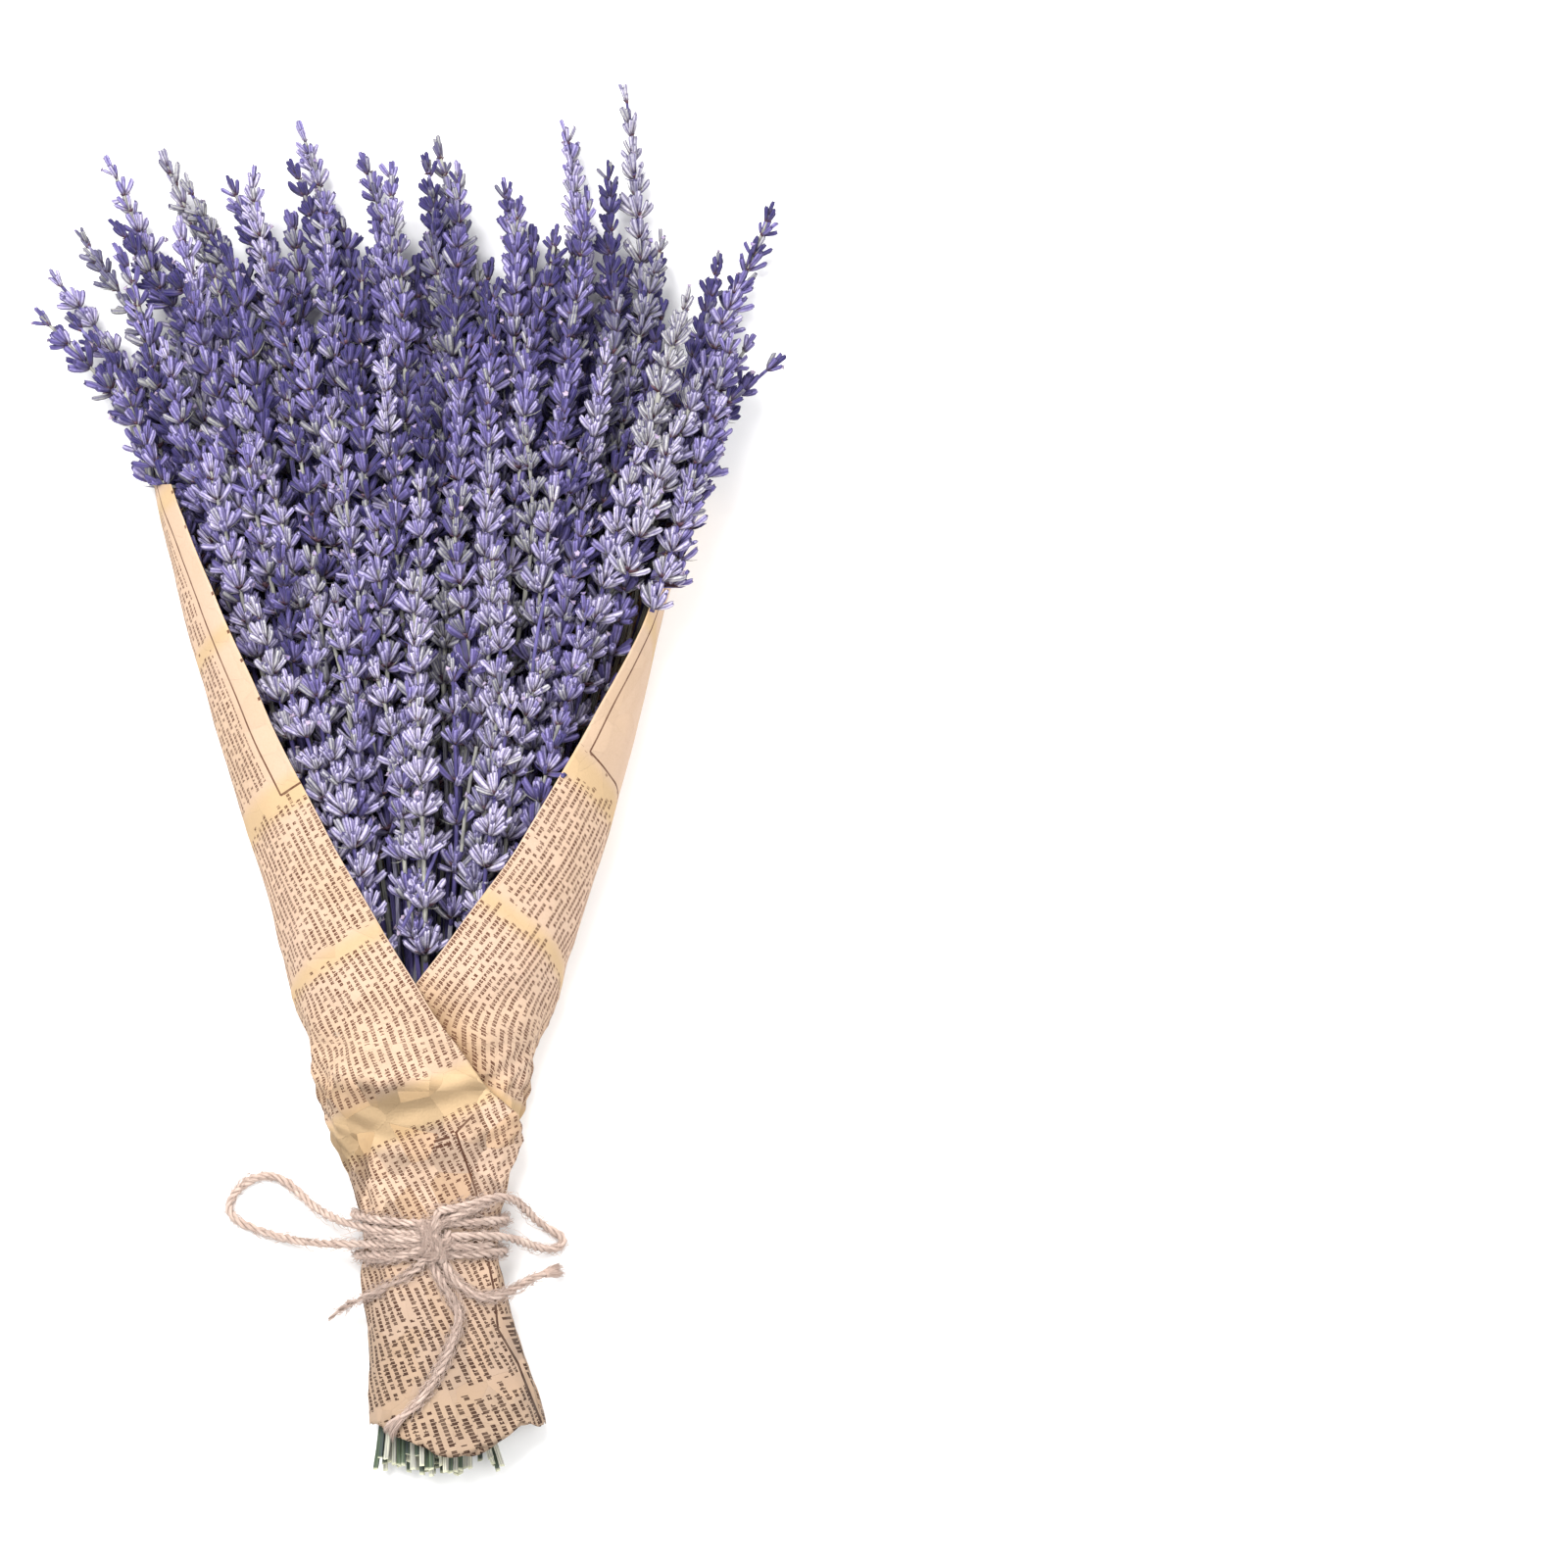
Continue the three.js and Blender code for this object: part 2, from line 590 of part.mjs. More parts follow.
// The two wraps and the knot, joined into one body.
async function twineBand() {
  const wasm = await Module();
  wasm.setup();
  const solid = (geometry) => new wasm.Manifold(new wasm.Mesh({
    numProp: 3,
    vertProperties: new Float32Array(geometry.attributes.position.array),
    triVerts: new Uint32Array(geometry.index.array),
  }));
  let joined = solid(knot());
  for (const wrap of BAND_WRAPS) joined = joined.add(solid(bandRing(wrap)));
  const mesh = joined.getMesh();
  const geometry = new THREE.BufferGeometry();
  geometry.setAttribute('position', new THREE.Float32BufferAttribute(mesh.vertProperties, 3));
  geometry.setIndex(Array.from(mesh.triVerts));
  geometry.computeVertexNormals();
  return geometry;
}

// ---------------------------------------------------------------- the bunch

const bunch = new THREE.Group();
bunch.name = 'dried_lavender_bunch';

bunch.add(namedMesh('paper_wrap', paperWrap(), 'paper'));
bunch.add(namedMesh('twine_band', await twineBand(), 'twine'));
LAYERS.forEach((layer, k) => {
  bunch.add(namedMesh(`stems_layer_${k + 1}`, stemLayer(k), 'stem'));
  for (const stem of layerStems(k)) {
    bunch.add(namedMesh(`spike_${k + 1}_${String(stem.i + 1).padStart(2, '0')}`, spike(stem), 'calyx'));
  }
});

// The origin: under the middle of the bunch without its free twine.
const box = new THREE.Box3().setFromObject(bunch);
const middle = box.getCenter(new THREE.Vector3());

bunch.add(freeTwine('twine_loop_left', LEFT_LOOP));
bunch.add(freeTwine('twine_loop_right', RIGHT_LOOP));
bunch.add(freeTwine('twine_tail_right', RIGHT_TAIL));
bunch.add(freeTwine('twine_tail_long', LONG_TAIL));
bunch.add(freeTwine('twine_tail_left', LEFT_TAIL));
bunch.position.set(-middle.x, -middle.y, -box.min.z);

export default bunch;
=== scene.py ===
import json
import math
from functools import lru_cache, reduce

import bpy
import numpy as np
from bpy.props import FloatProperty, FloatVectorProperty, IntProperty, PointerProperty
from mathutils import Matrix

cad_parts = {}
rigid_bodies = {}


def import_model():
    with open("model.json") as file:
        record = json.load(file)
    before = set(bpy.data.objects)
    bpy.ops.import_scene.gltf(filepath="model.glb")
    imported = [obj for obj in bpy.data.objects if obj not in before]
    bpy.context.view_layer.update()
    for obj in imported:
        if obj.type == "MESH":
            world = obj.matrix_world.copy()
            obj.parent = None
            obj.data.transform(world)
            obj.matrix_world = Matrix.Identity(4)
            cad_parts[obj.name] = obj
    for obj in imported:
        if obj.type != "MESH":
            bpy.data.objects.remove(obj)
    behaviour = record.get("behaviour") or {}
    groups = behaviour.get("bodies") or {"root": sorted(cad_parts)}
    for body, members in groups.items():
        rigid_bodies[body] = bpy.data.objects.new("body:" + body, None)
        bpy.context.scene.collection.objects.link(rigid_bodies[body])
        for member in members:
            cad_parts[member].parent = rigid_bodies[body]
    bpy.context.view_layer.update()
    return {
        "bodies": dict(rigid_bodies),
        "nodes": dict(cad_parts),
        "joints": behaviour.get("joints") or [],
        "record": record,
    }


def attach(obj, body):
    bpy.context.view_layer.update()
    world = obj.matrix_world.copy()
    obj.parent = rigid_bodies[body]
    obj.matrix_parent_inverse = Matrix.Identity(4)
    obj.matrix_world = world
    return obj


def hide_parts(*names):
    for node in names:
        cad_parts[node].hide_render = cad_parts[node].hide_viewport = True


bl_info = {
    "name": "Dried Lavender Bunch",
    "version": (1, 0, 0),
    "blender": (4, 5, 0),
    "location": "3D View > Sidebar > Lavender",
    "description": "Dresses a tied bunch of dried lavender: flowers, stems, printed paper and jute twine",
    "category": "Object",
}

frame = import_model()

# Lengths in the routines below are millimetres from the tie, as in the part; +Y runs to the
# flower tips and +Z up. TIE is where the tie stands in the frame.
TIE = np.array([3.3040809631347656, -138.4794921875, 0.0])
MM = 0.001

# ------------------------------------------------------------------ layout of the bunch

TIE_X, TIE_HALF = 2.8, 7.0
STEM_PITCH, LAYER_PITCH = 2.75, 2.75
CUT_Y, CUT_SPREAD, CUT_SPLAY = -70.0, 4.0, 1.06
BARE_RISE, FLOWER_RISE, RISE_LEAD = 9.2, 14.0, 62.0
MAX_SPIKE = 86.0
FAN_X, TIP_JITTER_X, TIP_JITTER_Y = 1.2, 3.0, 7.0
LAYERS = [
    {"base": 243, "spread": 80, "tips": [
        (-115.5, 296), (-96.6, 329), (-79, 330), (-59.4, 323), (-38, 340), (-18, 330),
        (5.1, 334), (25, 322), (44.1, 339), (62, 351), (106.5, 315)]},
    {"base": 215, "spread": 68, "tips": [
        (-91.5, 300), (-73.5, 308), (-52, 324), (-30, 317), (-9, 327),
        (11, 326), (30, 314), (51, 318), (74, 305), (101.4, 275)]},
    {"base": 186, "spread": 57, "count": 8, "tip_y": 272},
    {"base": 148, "spread": 43, "count": 7, "tip_y": 234},
    {"base": 114, "spread": 31, "count": 5, "tip_y": 199},
    {"base": 84, "spread": 15, "count": 3, "tip_y": 165},
]
STATIONS = [-75, -7, 7, 40, 75, 110, 145, 180, 215, 250, 285, 360]
FLOOR_LAYER_Z = [4.8, 5.9, 5.9, 4.6, 3, 2.8, 2.8, 3.2, 5.6, 8.6, 9.2, 9.6]

SPARSE = {(0, 9), (0, 1), (0, 2), (1, 0)}      # slender spikes, with few calyxes in a whorl
DRY = {(0, 9), (1, 8), (0, 2), (2, 7)}         # spikes gone grey and straw-like

# The paper, level by level: y, left and right reach, underside and top, and where its right and
# left free edges lie on the section.
WRAP = [
    (-58, -15.8, 37.6, 1.4, 24, -1.3, 17.9), (-34, -16, 29, 2.4, 23.6, -1.5, 18),
    (-10, -17.2, 22, 3.6, 23.4, -1.5, 18.2), (10, -18.6, 23.2, 3.6, 23.4, -1.5, 18.2),
    (30, -25, 26.6, 2, 28, -1.2, 18.1), (46, -30.3, 30, 0.8, 32, -0.9, 16.2),
    (66, -36.5, 37, 0, 36.5, -0.5, 15.25), (88, -43, 46, 0, 42.5, 0.25, 14.6),
    (115, -50.5, 54.5, 0, 49.5, 0.95, 14.05), (150, -61, 64, 0, 56, 1.8, 13.45),
    (190, -73.5, 74, 0, 61, 2.75, 13), (230, -82, 86, 0, 62, 2.7, 12.3),
]
SECTION = np.array([
    (0, 1), (0.5, 0.93), (0.8, 0.76), (0.97, 0.5), (1, 0.27), (0.98, 0.08), (0.9, 0), (0.3, 0),
    (-0.3, 0), (-0.9, 0), (-0.98, 0.08), (-1, 0.27), (-0.97, 0.5), (-0.8, 0.76), (-0.5, 0.93)])
CORNERS = len(SECTION)
FLAP_LIFT, GAP, TWINE = 1.1, 0.3, 2.8

# Routes of the free twine.
CORDS = {
    "twine_loop_left": [
        (-0.8, 0.75, 26.4), (-5, 1, 25.7), (-10, 1.5, 24.3), (-15, 2.2, 21.8), (-19.6, 3, 18),
        (-26, 4.6, 12.8), (-33.4, 8.4, 7.8), (-38.6, 12.9, 4.8), (-43.5, 16.5, 2.8),
        (-48.8, 17.8, 1.7), (-54.5, 15.8, 1.5), (-58.9, 11.6, 1.5), (-60.2, 7.4, 1.5),
        (-57.4, 3.8, 1.6), (-51.5, 1.2, 2.4), (-45, -0.8, 4), (-38, -2.2, 6.8), (-31, -2.7, 10.4),
        (-24.5, -2.7, 14.6), (-19.4, -2.5, 18), (-15, -2.4, 21.2), (-10, -2.4, 24),
        (-5, -2.4, 25.6), (-0.8, -2.4, 26.4)],
    "twine_loop_right": [
        (5.2, 7.9, 26.9), (10, 8.8, 25.6), (15.4, 10.1, 24), (20.2, 11.4, 21.5), (24.4, 11.9, 18),
        (28.2, 10.6, 13.8), (31.6, 7.6, 10), (34.8, 4.2, 7), (38.2, 1.6, 4.4), (41.4, -0.2, 2.4),
        (42.8, -2.8, 1.7), (40.4, -4.6, 2.6), (36, -4.4, 5.6), (31.8, -2.8, 9.4),
        (27.6, -1.2, 14), (24, -0.2, 18.2), (19.6, 0.2, 21.4), (14, 0.2, 24.2), (8.5, 0.2, 26.2)],
    "twine_tail_right": [
        (6.8, -7.9, 26.4), (8.8, -11.4, 25.9), (12.4, -15.4, 25.2), (17, -18.2, 23.8),
        (22.2, -18.6, 21.2), (27.4, -16.8, 17.2), (32.6, -14, 12.2), (38.2, -11.9, 7.2),
        (42.4, -11.1, 4), (45.4, -11.3, 2.6)],
    "twine_tail_long": [
        (3.4, -7.9, 26.4), (5.2, -12, 26.3), (8.2, -17, 26.2), (10.8, -21.8, 26),
        (11.4, -25.6, 26), (9.9, -30.5, 26.4), (8, -36, 26.6), (4.8, -42, 26.7),
        (1.5, -47.4, 26.6), (-2.2, -52, 26.2), (-7, -56.2, 25.2), (-9.9, -59.8, 23.8),
        (-9.8, -63.6, 22.2)],
    "twine_tail_left": [
        (-0.4, -8.7, 26.4), (-3.4, -11.2, 25.7), (-8, -14, 24.2), (-13, -16.6, 21.8),
        (-17.8, -18.8, 17.8), (-22.4, -21.2, 12.6), (-26.2, -23.8, 7.4), (-29.4, -26.6, 3.2)],
}
BAND_WRAPS = [(4.2, 4.8, 3.4, 6.4), (-5.6, -5.0, -4.6, -6.2)]   # y at front, right, back, left
# Turns of twine that make the knot.
KNOT_TURNS = [
    [(-0.8, 0.75, 26.4), (1.4, 1.7, 28.4), (4.2, 0.4, 29.6), (6.0, -3.4, 29), (6.8, -7.9, 26.6)],
    [(-0.8, -2.4, 26.4), (1.6, -3.3, 27.4), (4.4, -2.9, 27.9), (6.9, -1, 27.5), (8.5, 0.2, 26.3)],
    [(3.4, -7.9, 26.5), (2.6, -4.6, 28.9), (3.0, -0.4, 29.9), (4.4, 4.2, 29.1), (5.2, 7.9, 27)],
    [(-0.4, -8.7, 26.5), (1.2, -6.6, 27.8), (4.6, -5.2, 28.8), (7.4, -2.6, 27.6), (8.2, 2, 26.2)],
    [(0, 4.6, 25.8), (0.8, 2.6, 28.2), (3.2, -1.2, 30.1), (5.4, -4.8, 28.9), (5.6, -7.6, 26.3)],
]

# Ends of the winding that cross the front beside the two wraps.
FRONT_STRANDS = [
    [(-17.8, 2, 16.5), (-15.4, 1.2, 20.6), (-11, -0.2, 24.6), (-5, -0.7, 26.8), (0, -0.4, 27.6),
     (3, 0, 28)],
    [(-17.4, -7.6, 15.6), (-14.8, -7.4, 20.4), (-10, -6.6, 24.2), (-4.5, -5.2, 26.2),
     (0, -3.6, 27.6), (3, -2, 28.4)],
    [(3, 2, 28.6), (7, 4.4, 27.6), (12, 7, 26.2), (17, 8.8, 23.4), (20.6, 9.6, 19.6), (22.2, 9.4, 15.6)],
    [(3, -1.5, 28.8), (8, -2.6, 27.4), (13, -3.2, 25.4), (18, -3.2, 22.2), (21.4, -3, 17.4)],
]

# Broken stems that lie across the others in the opening of the paper: both ends, the bow to the
# side, and the two numbers that choose their colour.
STRAYS = [
    ((-5.4, 95, 32), (6.4, 121, 38), 0.5, 0.95, 0.1),
    ((12.5, 118, 34), (17.4, 150, 40), -0.6, 0.3, 0.9),
    ((-20, 150, 38), (-27.4, 186, 43), 0.8, 0.4, 0.7),
    ((34, 168, 42), (39, 198, 47), -0.7, 0.95, 0.1)]
# Tips of the spikes that lean out over the right edge of the paper.
OVERHANGING_TIPS = [
    (84, 262, 44), (91, 254, 40), (96, 274, 37), (86, 240, 42),
    (77, 248, 48), (97, 292, 34), (82, 286, 49), (93, 248, 36)]
# How high the plain spikes reach that close the top of the bunch, from left to right.
CROWN_X, CROWN_Y = [-100, -60, -45, 50, 66, 100], [268, 296, 310, 308, 292, 262]
BACK_STEMS, DEEP_BACK_STEMS, CROWN_STEMS, SIDE_STEMS = 48, 22, 22, 18

# The long rule and the large mark printed on the front of the paper.
FRONT_RULE = [
    (16, 37.4), (10.8, 32.1), (16.7, 13.6), (19.4, -3.5), (22, -16), (23.3, -28.6), (29.3, -39.2),
    (36.4, -57.5)]
DROPPED_MARK = [((4.4, 29.4), (8.4, 30.6)), ((4.9, 27.6), (6.2, 28.0)), ((7.4, 28.3), (8.9, 28.8))]
# Columns of print: where each starts and ends along its lines.
PRINT_COLUMNS = [(-84, -51.5), (-46.5, 34), (50, 100.5), (105, 148), (157, 203.5), (208, 252), (258, 278)]
PRINT_LOW, PRINT_SPAN, RULE_HALF = -80.0, 360.0, 0.34

# ------------------------------------------------------------------ sizes and colours


def colour(name, about, default):
    return FloatVectorProperty(
        name=name, description=about, default=default, subtype="COLOR", size=3, min=0, max=1)


def length(name, about, default):
    return FloatProperty(
        name=name, description=about, default=default, unit="LENGTH", subtype="DISTANCE", min=0.00001,
        precision=5)


def number(name, about, default, low, high):
    return IntProperty(name=name, description=about, default=default, min=low, max=high)


class FlowerSettings(bpy.types.PropertyGroup):
    """Sizes and colours of the flowering spikes."""
    calyx_length: length("Calyx length", "From its foot to its mouth, at the foot of a spike", 0.0072)
    calyx_width: length("Calyx width", "Across its mouth", 0.00235)
    whorl_spacing: length("Whorl spacing", "From one whorl of calyxes to the next, on average", 0.0074)
    outer_calyxes: number("Outer calyxes", "Calyxes in the outer ring of a whorl", 8, 3, 14)
    inner_calyxes: number("Inner calyxes", "Calyxes in the inner ring of a whorl", 5, 0, 9)
    pale: colour("Pale calyx", "Colour of a faded calyx", (0.52, 0.465, 0.66))
    violet: colour("Violet calyx", "Colour of a calyx that has kept its violet", (0.185, 0.15, 0.4))
    foot: colour("Calyx foot", "Colour of a calyx at its foot", (0.6, 0.56, 0.5))
    # The deep colour is painted shade: the spikes deep in the bunch take it so that they look shaded.
    deep: colour("Deep calyx", "Colour of the darkest calyxes", (0.012, 0.007, 0.09))
    dry: colour("Dry calyx", "Colour of a calyx gone grey and straw-like", (0.36, 0.36, 0.31))
    bract: colour("Bract", "Colour of the papery bracts under a whorl", (0.045, 0.014, 0.03))


class StemSettings(bpy.types.PropertyGroup):
    """Sizes and colours of the stems."""
    width: length("Stem width", "Across the square stem", 0.00175)
    rachis_width: length("Rachis width", "Across the stem between the lowest whorls", 0.0015)
    green: colour("Green stem", "Colour of a stem at its cut end", (0.075, 0.11, 0.05))
    straw: colour("Straw stem", "Colour of a bleached stem", (0.76, 0.75, 0.6))
    # The lilac stem colour is dark: partly the stems' own violet tint among the flowers, partly painted
    # shade.
    lilac: colour("Lilac stem", "Colour of a stem among the flowers", (0.1, 0.08, 0.24))


class PaperSettings(bpy.types.PropertyGroup):
    """The printed wrapping paper."""
    thickness: length("Thickness", "Thickness of the sheet", 0.0002)
    line_pitch: length("Line pitch", "From one printed line to the next", 0.0025)
    ground: colour("Paper", "Colour of the bare paper", (0.52, 0.365, 0.21))
    printed: colour("Printed area", "Colour of the paper under the print", (0.55, 0.395, 0.295))
    ink: colour("Ink", "Colour of the print", (0.085, 0.028, 0.014))


class TwineSettings(bpy.types.PropertyGroup):
    """The jute twine."""
    diameter: length("Diameter", "Across the three plies", 0.0028)
    lay: length("Length of lay", "Length in which a ply goes once round", 0.0074)
    fibre: length("Fibre", "Thickness of a loose fibre", 0.00017)
    jute: colour("Jute", "Colour of the twine", (0.475, 0.36, 0.305))
    # painted shade: the colour given to the twine between the plies
    shade: colour("Jute shade", "Colour between the plies", (0.12, 0.07, 0.045))


class StageSettings(bpy.types.PropertyGroup):
    """Floor, light and camera."""
    camera_height: length("Camera height", "Height of the camera above the floor", 3.0)
    view_width: length("View width", "Width that the camera sees at the height of the flowers", 0.48)
    floor: colour("Floor", "Colour of the floor", (0.95, 0.95, 0.95))


SETTINGS = {
    "lavender_flowers": FlowerSettings, "lavender_stems": StemSettings, "lavender_paper": PaperSettings,
    "lavender_twine": TwineSettings, "lavender_stage": StageSettings,
}

# ------------------------------------------------------------------ numbers


def draw(a, b):
    """A repeatable draw from -1 to 1 for a pair of whole numbers."""
    value = math.sin(a * 12.9898 + b * 78.233 + 3.7) * 43758.5453
    return (value - math.floor(value)) * 2 - 1


def smoothstep(x, low, high):
    t = np.clip((np.asarray(x, float) - low) / (high - low), 0, 1)
    return t * t * (3 - 2 * t)


def unit(v):
    return v / np.maximum(np.linalg.norm(v, axis=-1, keepdims=True), 1e-12)


def eased(stations, values, y, reach):
    """Reads a table at y, its corners rounded over reach millimetres."""
    fine = np.arange(stations[0] - 20, stations[-1] + 21, 1.0)
    table = np.interp(fine, stations, values)
    kernel = np.hanning(2 * reach + 3)[1:-1]
    padded = np.pad(table, reach, mode="reflect", reflect_type="odd")
    return np.interp(y, fine, np.convolve(padded, kernel / kernel.sum(), mode="valid"))


def smooth_between(a, b, c, d, t):
    """A smooth curve from b to c that comes from a and goes on to d."""
    return 0.5 * (2 * b + (c - a) * t + (2 * a - 5 * b + 4 * c - d) * t ** 2
                  + (3 * b - a - 3 * c + d) * t ** 3)


def through(points, step):
    """A smooth line through the points, with a point about every step millimetres."""
    p = np.asarray(points, float)
    p = np.vstack([2 * p[0] - p[1], p, 2 * p[-1] - p[-2]])
    out = []
    for i in range(1, len(p) - 2):
        out.append(smooth_between(*p[i - 1:i + 3], np.linspace(0, 1, 24, endpoint=False)[:, None]))
    line = np.vstack(out + [p[-2:-1]])
    return spaced(line, step)


def spaced(line, step):
    """The same line with evenly spaced points."""
    gone = np.r_[0, np.cumsum(np.linalg.norm(np.diff(line, axis=0), axis=1))]
    n = max(2, int(round(gone[-1] / step)) + 1)
    at = np.linspace(0, gone[-1], n)
    return np.column_stack([np.interp(at, gone, line[:, i]) for i in range(3)])


def carried_frames(line, closed=False):
    """Directions along a line and two across it that turn as little as they can."""
    if closed:
        along = unit(np.roll(line, -1, axis=0) - np.roll(line, 1, axis=0))
    else:
        along = unit(np.gradient(line, axis=0))
    across = np.zeros_like(line)
    first = np.cross(along[0], (0, 0, 1))
    across[0] = unit(first if np.linalg.norm(first) > 0.1 else np.cross(along[0], (0, 1, 0)))
    for i in range(1, len(line)):
        across[i] = unit(across[i - 1] - along[i] * np.dot(across[i - 1], along[i]))
    return along, across, np.cross(along, across)


# ------------------------------------------------------------------ gathering meshes


class Form:
    """Points and faces of one shape, ready to be copied: flat lists of corners and face sizes."""

    def __init__(self, points, loops, totals, uv, along=None):
        self.points = np.asarray(points, float)
        self.loops = np.asarray(loops, np.int64)
        self.totals = np.asarray(totals, np.int64)
        self.uv = np.asarray(uv, float)
        self.along = np.zeros(len(self.points)) if along is None else np.asarray(along, float)


class Gathering:
    """A piece under construction, gathered from copies of forms."""

    def __init__(self):
        self.points, self.loops, self.totals, self.uv, self.tint, self.slots = [], [], [], [], [], []
        self.count = 0

    def add(self, form, placed, tint, slot=0):
        """Copies of form at placed, (copies, points, 3) in millimetres, with tint, (copies, points, 4)."""
        placed = np.asarray(placed, float)
        if placed.ndim == 2:
            placed = placed[None]
        copies, n = placed.shape[:2]
        tint = np.broadcast_to(tint, (copies, n, 4))
        starts = self.count + np.arange(copies) * n
        self.points.append(placed.reshape(-1, 3))
        self.loops.append((form.loops[None] + starts[:, None]).ravel())
        self.totals.append(np.tile(form.totals, copies))
        self.uv.append(np.tile(form.uv, (copies, 1)))
        self.tint.append(tint.reshape(-1, 4))
        self.slots.append(np.full(copies * len(form.totals), slot))
        self.count += copies * n

    def piece(self, name, materials, smooth=True, resting=True):
        """Makes the object: metres, at the origin, its place in its mesh."""
        points = np.vstack(self.points)
        if resting:                        # what would reach below the floor is bent up by it
            low = points[:, 2] < 0.8
            points[low, 2] = 0.8 * np.exp(points[low, 2] / 0.8 - 1)
        points = (points + TIE) * MM
        loops, totals = np.concatenate(self.loops), np.concatenate(self.totals)
        mesh = bpy.data.meshes.new(name)
        mesh.vertices.add(len(points))
        mesh.vertices.foreach_set("co", points.astype(np.float32).ravel())
        mesh.loops.add(len(loops))
        mesh.loops.foreach_set("vertex_index", loops.astype(np.int32))
        mesh.polygons.add(len(totals))
        mesh.polygons.foreach_set("loop_start", np.r_[0, np.cumsum(totals)[:-1]].astype(np.int32))
        mesh.polygons.foreach_set("material_index", np.concatenate(self.slots).astype(np.int32))
        mesh.update(calc_edges=True)
        mesh.validate()
        mesh.polygons.foreach_set("use_smooth", np.full(len(mesh.polygons), smooth))
        skin = mesh.uv_layers.new(name="skin")
        skin.data.foreach_set("uv", np.vstack(self.uv).astype(np.float32).ravel())
        tint = mesh.attributes.new("tint", "FLOAT_COLOR", "POINT")
        tint.data.foreach_set("color", np.vstack(self.tint).astype(np.float32).ravel())
        for material in materials:
            mesh.materials.append(material)
        obj = bpy.data.objects.new(name, mesh)
        bpy.context.scene.collection.objects.link(obj)
        return obj


@lru_cache(maxsize=None)
def tube(rings, sides, closed=False):
    """Faces of a tube of that many rings, turning counter-clockwise round its line, with flat ends."""
    quads, uv = [], []
    last = rings if closed else rings - 1
    for r in range(last):
        a, b = r * sides, (r + 1) % rings * sides
        for i in range(sides):
            j = (i + 1) % sides
            quads += [a + i, a + j, b + j, b + i]
            uv += [(i / sides, r), ((i + 1) / sides, r), ((i + 1) / sides, r + 1), (i / sides, r + 1)]
    totals = [4] * (last * sides)
    if not closed:
        quads += list(range(sides))[::-1] + [(rings - 1) * sides + i for i in range(sides)]
        uv += [(0.5, 0)] * sides + [(0.5, rings - 1)] * sides
        totals += [sides, sides]
    return Form(np.zeros((rings * sides, 3)), quads, totals, uv)


def tube_points(line, side, up, outline):
    """Points round a line: outline is (sides, 2), or (rings, sides, 2), in the side and up directions."""
    outline = np.broadcast_to(outline, (len(line),) + np.shape(outline)[-2:])
    return (line[:, None] + side[:, None] * outline[..., :1] + up[:, None] * outline[..., 1:]).reshape(-1, 3)


def tint_rows(*columns):
    """Rows of tint, of the length of the longest column."""
    rows = np.ones((max(np.size(column) for column in columns), 4))
    for i, column in enumerate(columns):
        rows[:, i] = column
    return rows


def round_outline(sides, radius=1.0, turn=0.0):
    angle = turn + np.arange(sides) / sides * 2 * np.pi
    return np.column_stack([np.cos(angle), np.sin(angle)]) * radius


# ------------------------------------------------------------------ where the stems run


def layer_heights():
    """The height of every layer's stems above the table, at the stations along the bunch."""
    heights = [np.array(FLOOR_LAYER_Z, float)]
    for k in range(1, len(LAYERS)):
        own, below = LAYERS[k]["base"], LAYERS[k - 1]["base"]
        rises = [LAYER_PITCH, BARE_RISE, FLOWER_RISE]
        heights.append(heights[-1] + np.interp(STATIONS, [own - RISE_LEAD, own, below], rises))
    return heights


HEIGHTS = layer_heights()


def between_layers(k, share):
    """Heights of a stem that runs between layer k and the next."""
    return HEIGHTS[k] * (1 - share) + HEIGHTS[k + 1] * share


def stem_of(tie_x, base_x, base_y, tip, **more):
    """A stem that runs straight from the tie to its base, where it comes free, and on to its tip."""
    slope = (base_x - tie_x) / (base_y - TIE_HALF)
    return dict(dict(tie_x=tie_x, base_x=base_x, base_y=base_y, tip=tip, slope=slope, start=base_y,
                     cut=40.0, wander=1.2), **more)


def layer_stems(k):
    """The stems of a layer of the frame, left to right."""
    layer = LAYERS[k]
    base_y = layer["base"]
    count = len(layer["tips"]) if "tips" in layer else layer["count"]
    stems = []
    for i in range(count):
        tie_x = TIE_X + (i - (count - 1) / 2) * STEM_PITCH
        base_x = FAN_X + (i / (count - 1) * 2 - 1) * layer["spread"]
        slope = (base_x - tie_x) / (base_y - TIE_HALF)
        if "tips" in layer:
            tip = layer["tips"][i]
        else:
            tip_y = layer["tip_y"] + draw(k, i) * TIP_JITTER_Y
            tip = (base_x + slope * (tip_y - base_y) + draw(i, k + 9) * TIP_JITTER_X, tip_y)
        stems.append(stem_of(
            tie_x, base_x, base_y, tip, heights=HEIGHTS[k], start=max(base_y, tip[1] - MAX_SPIKE),
            cut=CUT_Y + draw(i, k) * CUT_SPREAD, seed=k * 20 + i, wander=0.5,
            vigour=0.55 if (k, i) in SPARSE else 0.95 + 0.15 * draw(i, k + 40)))
        if (k, i) in DRY:
            stems[-1]["dry"] = 0.6
    return stems


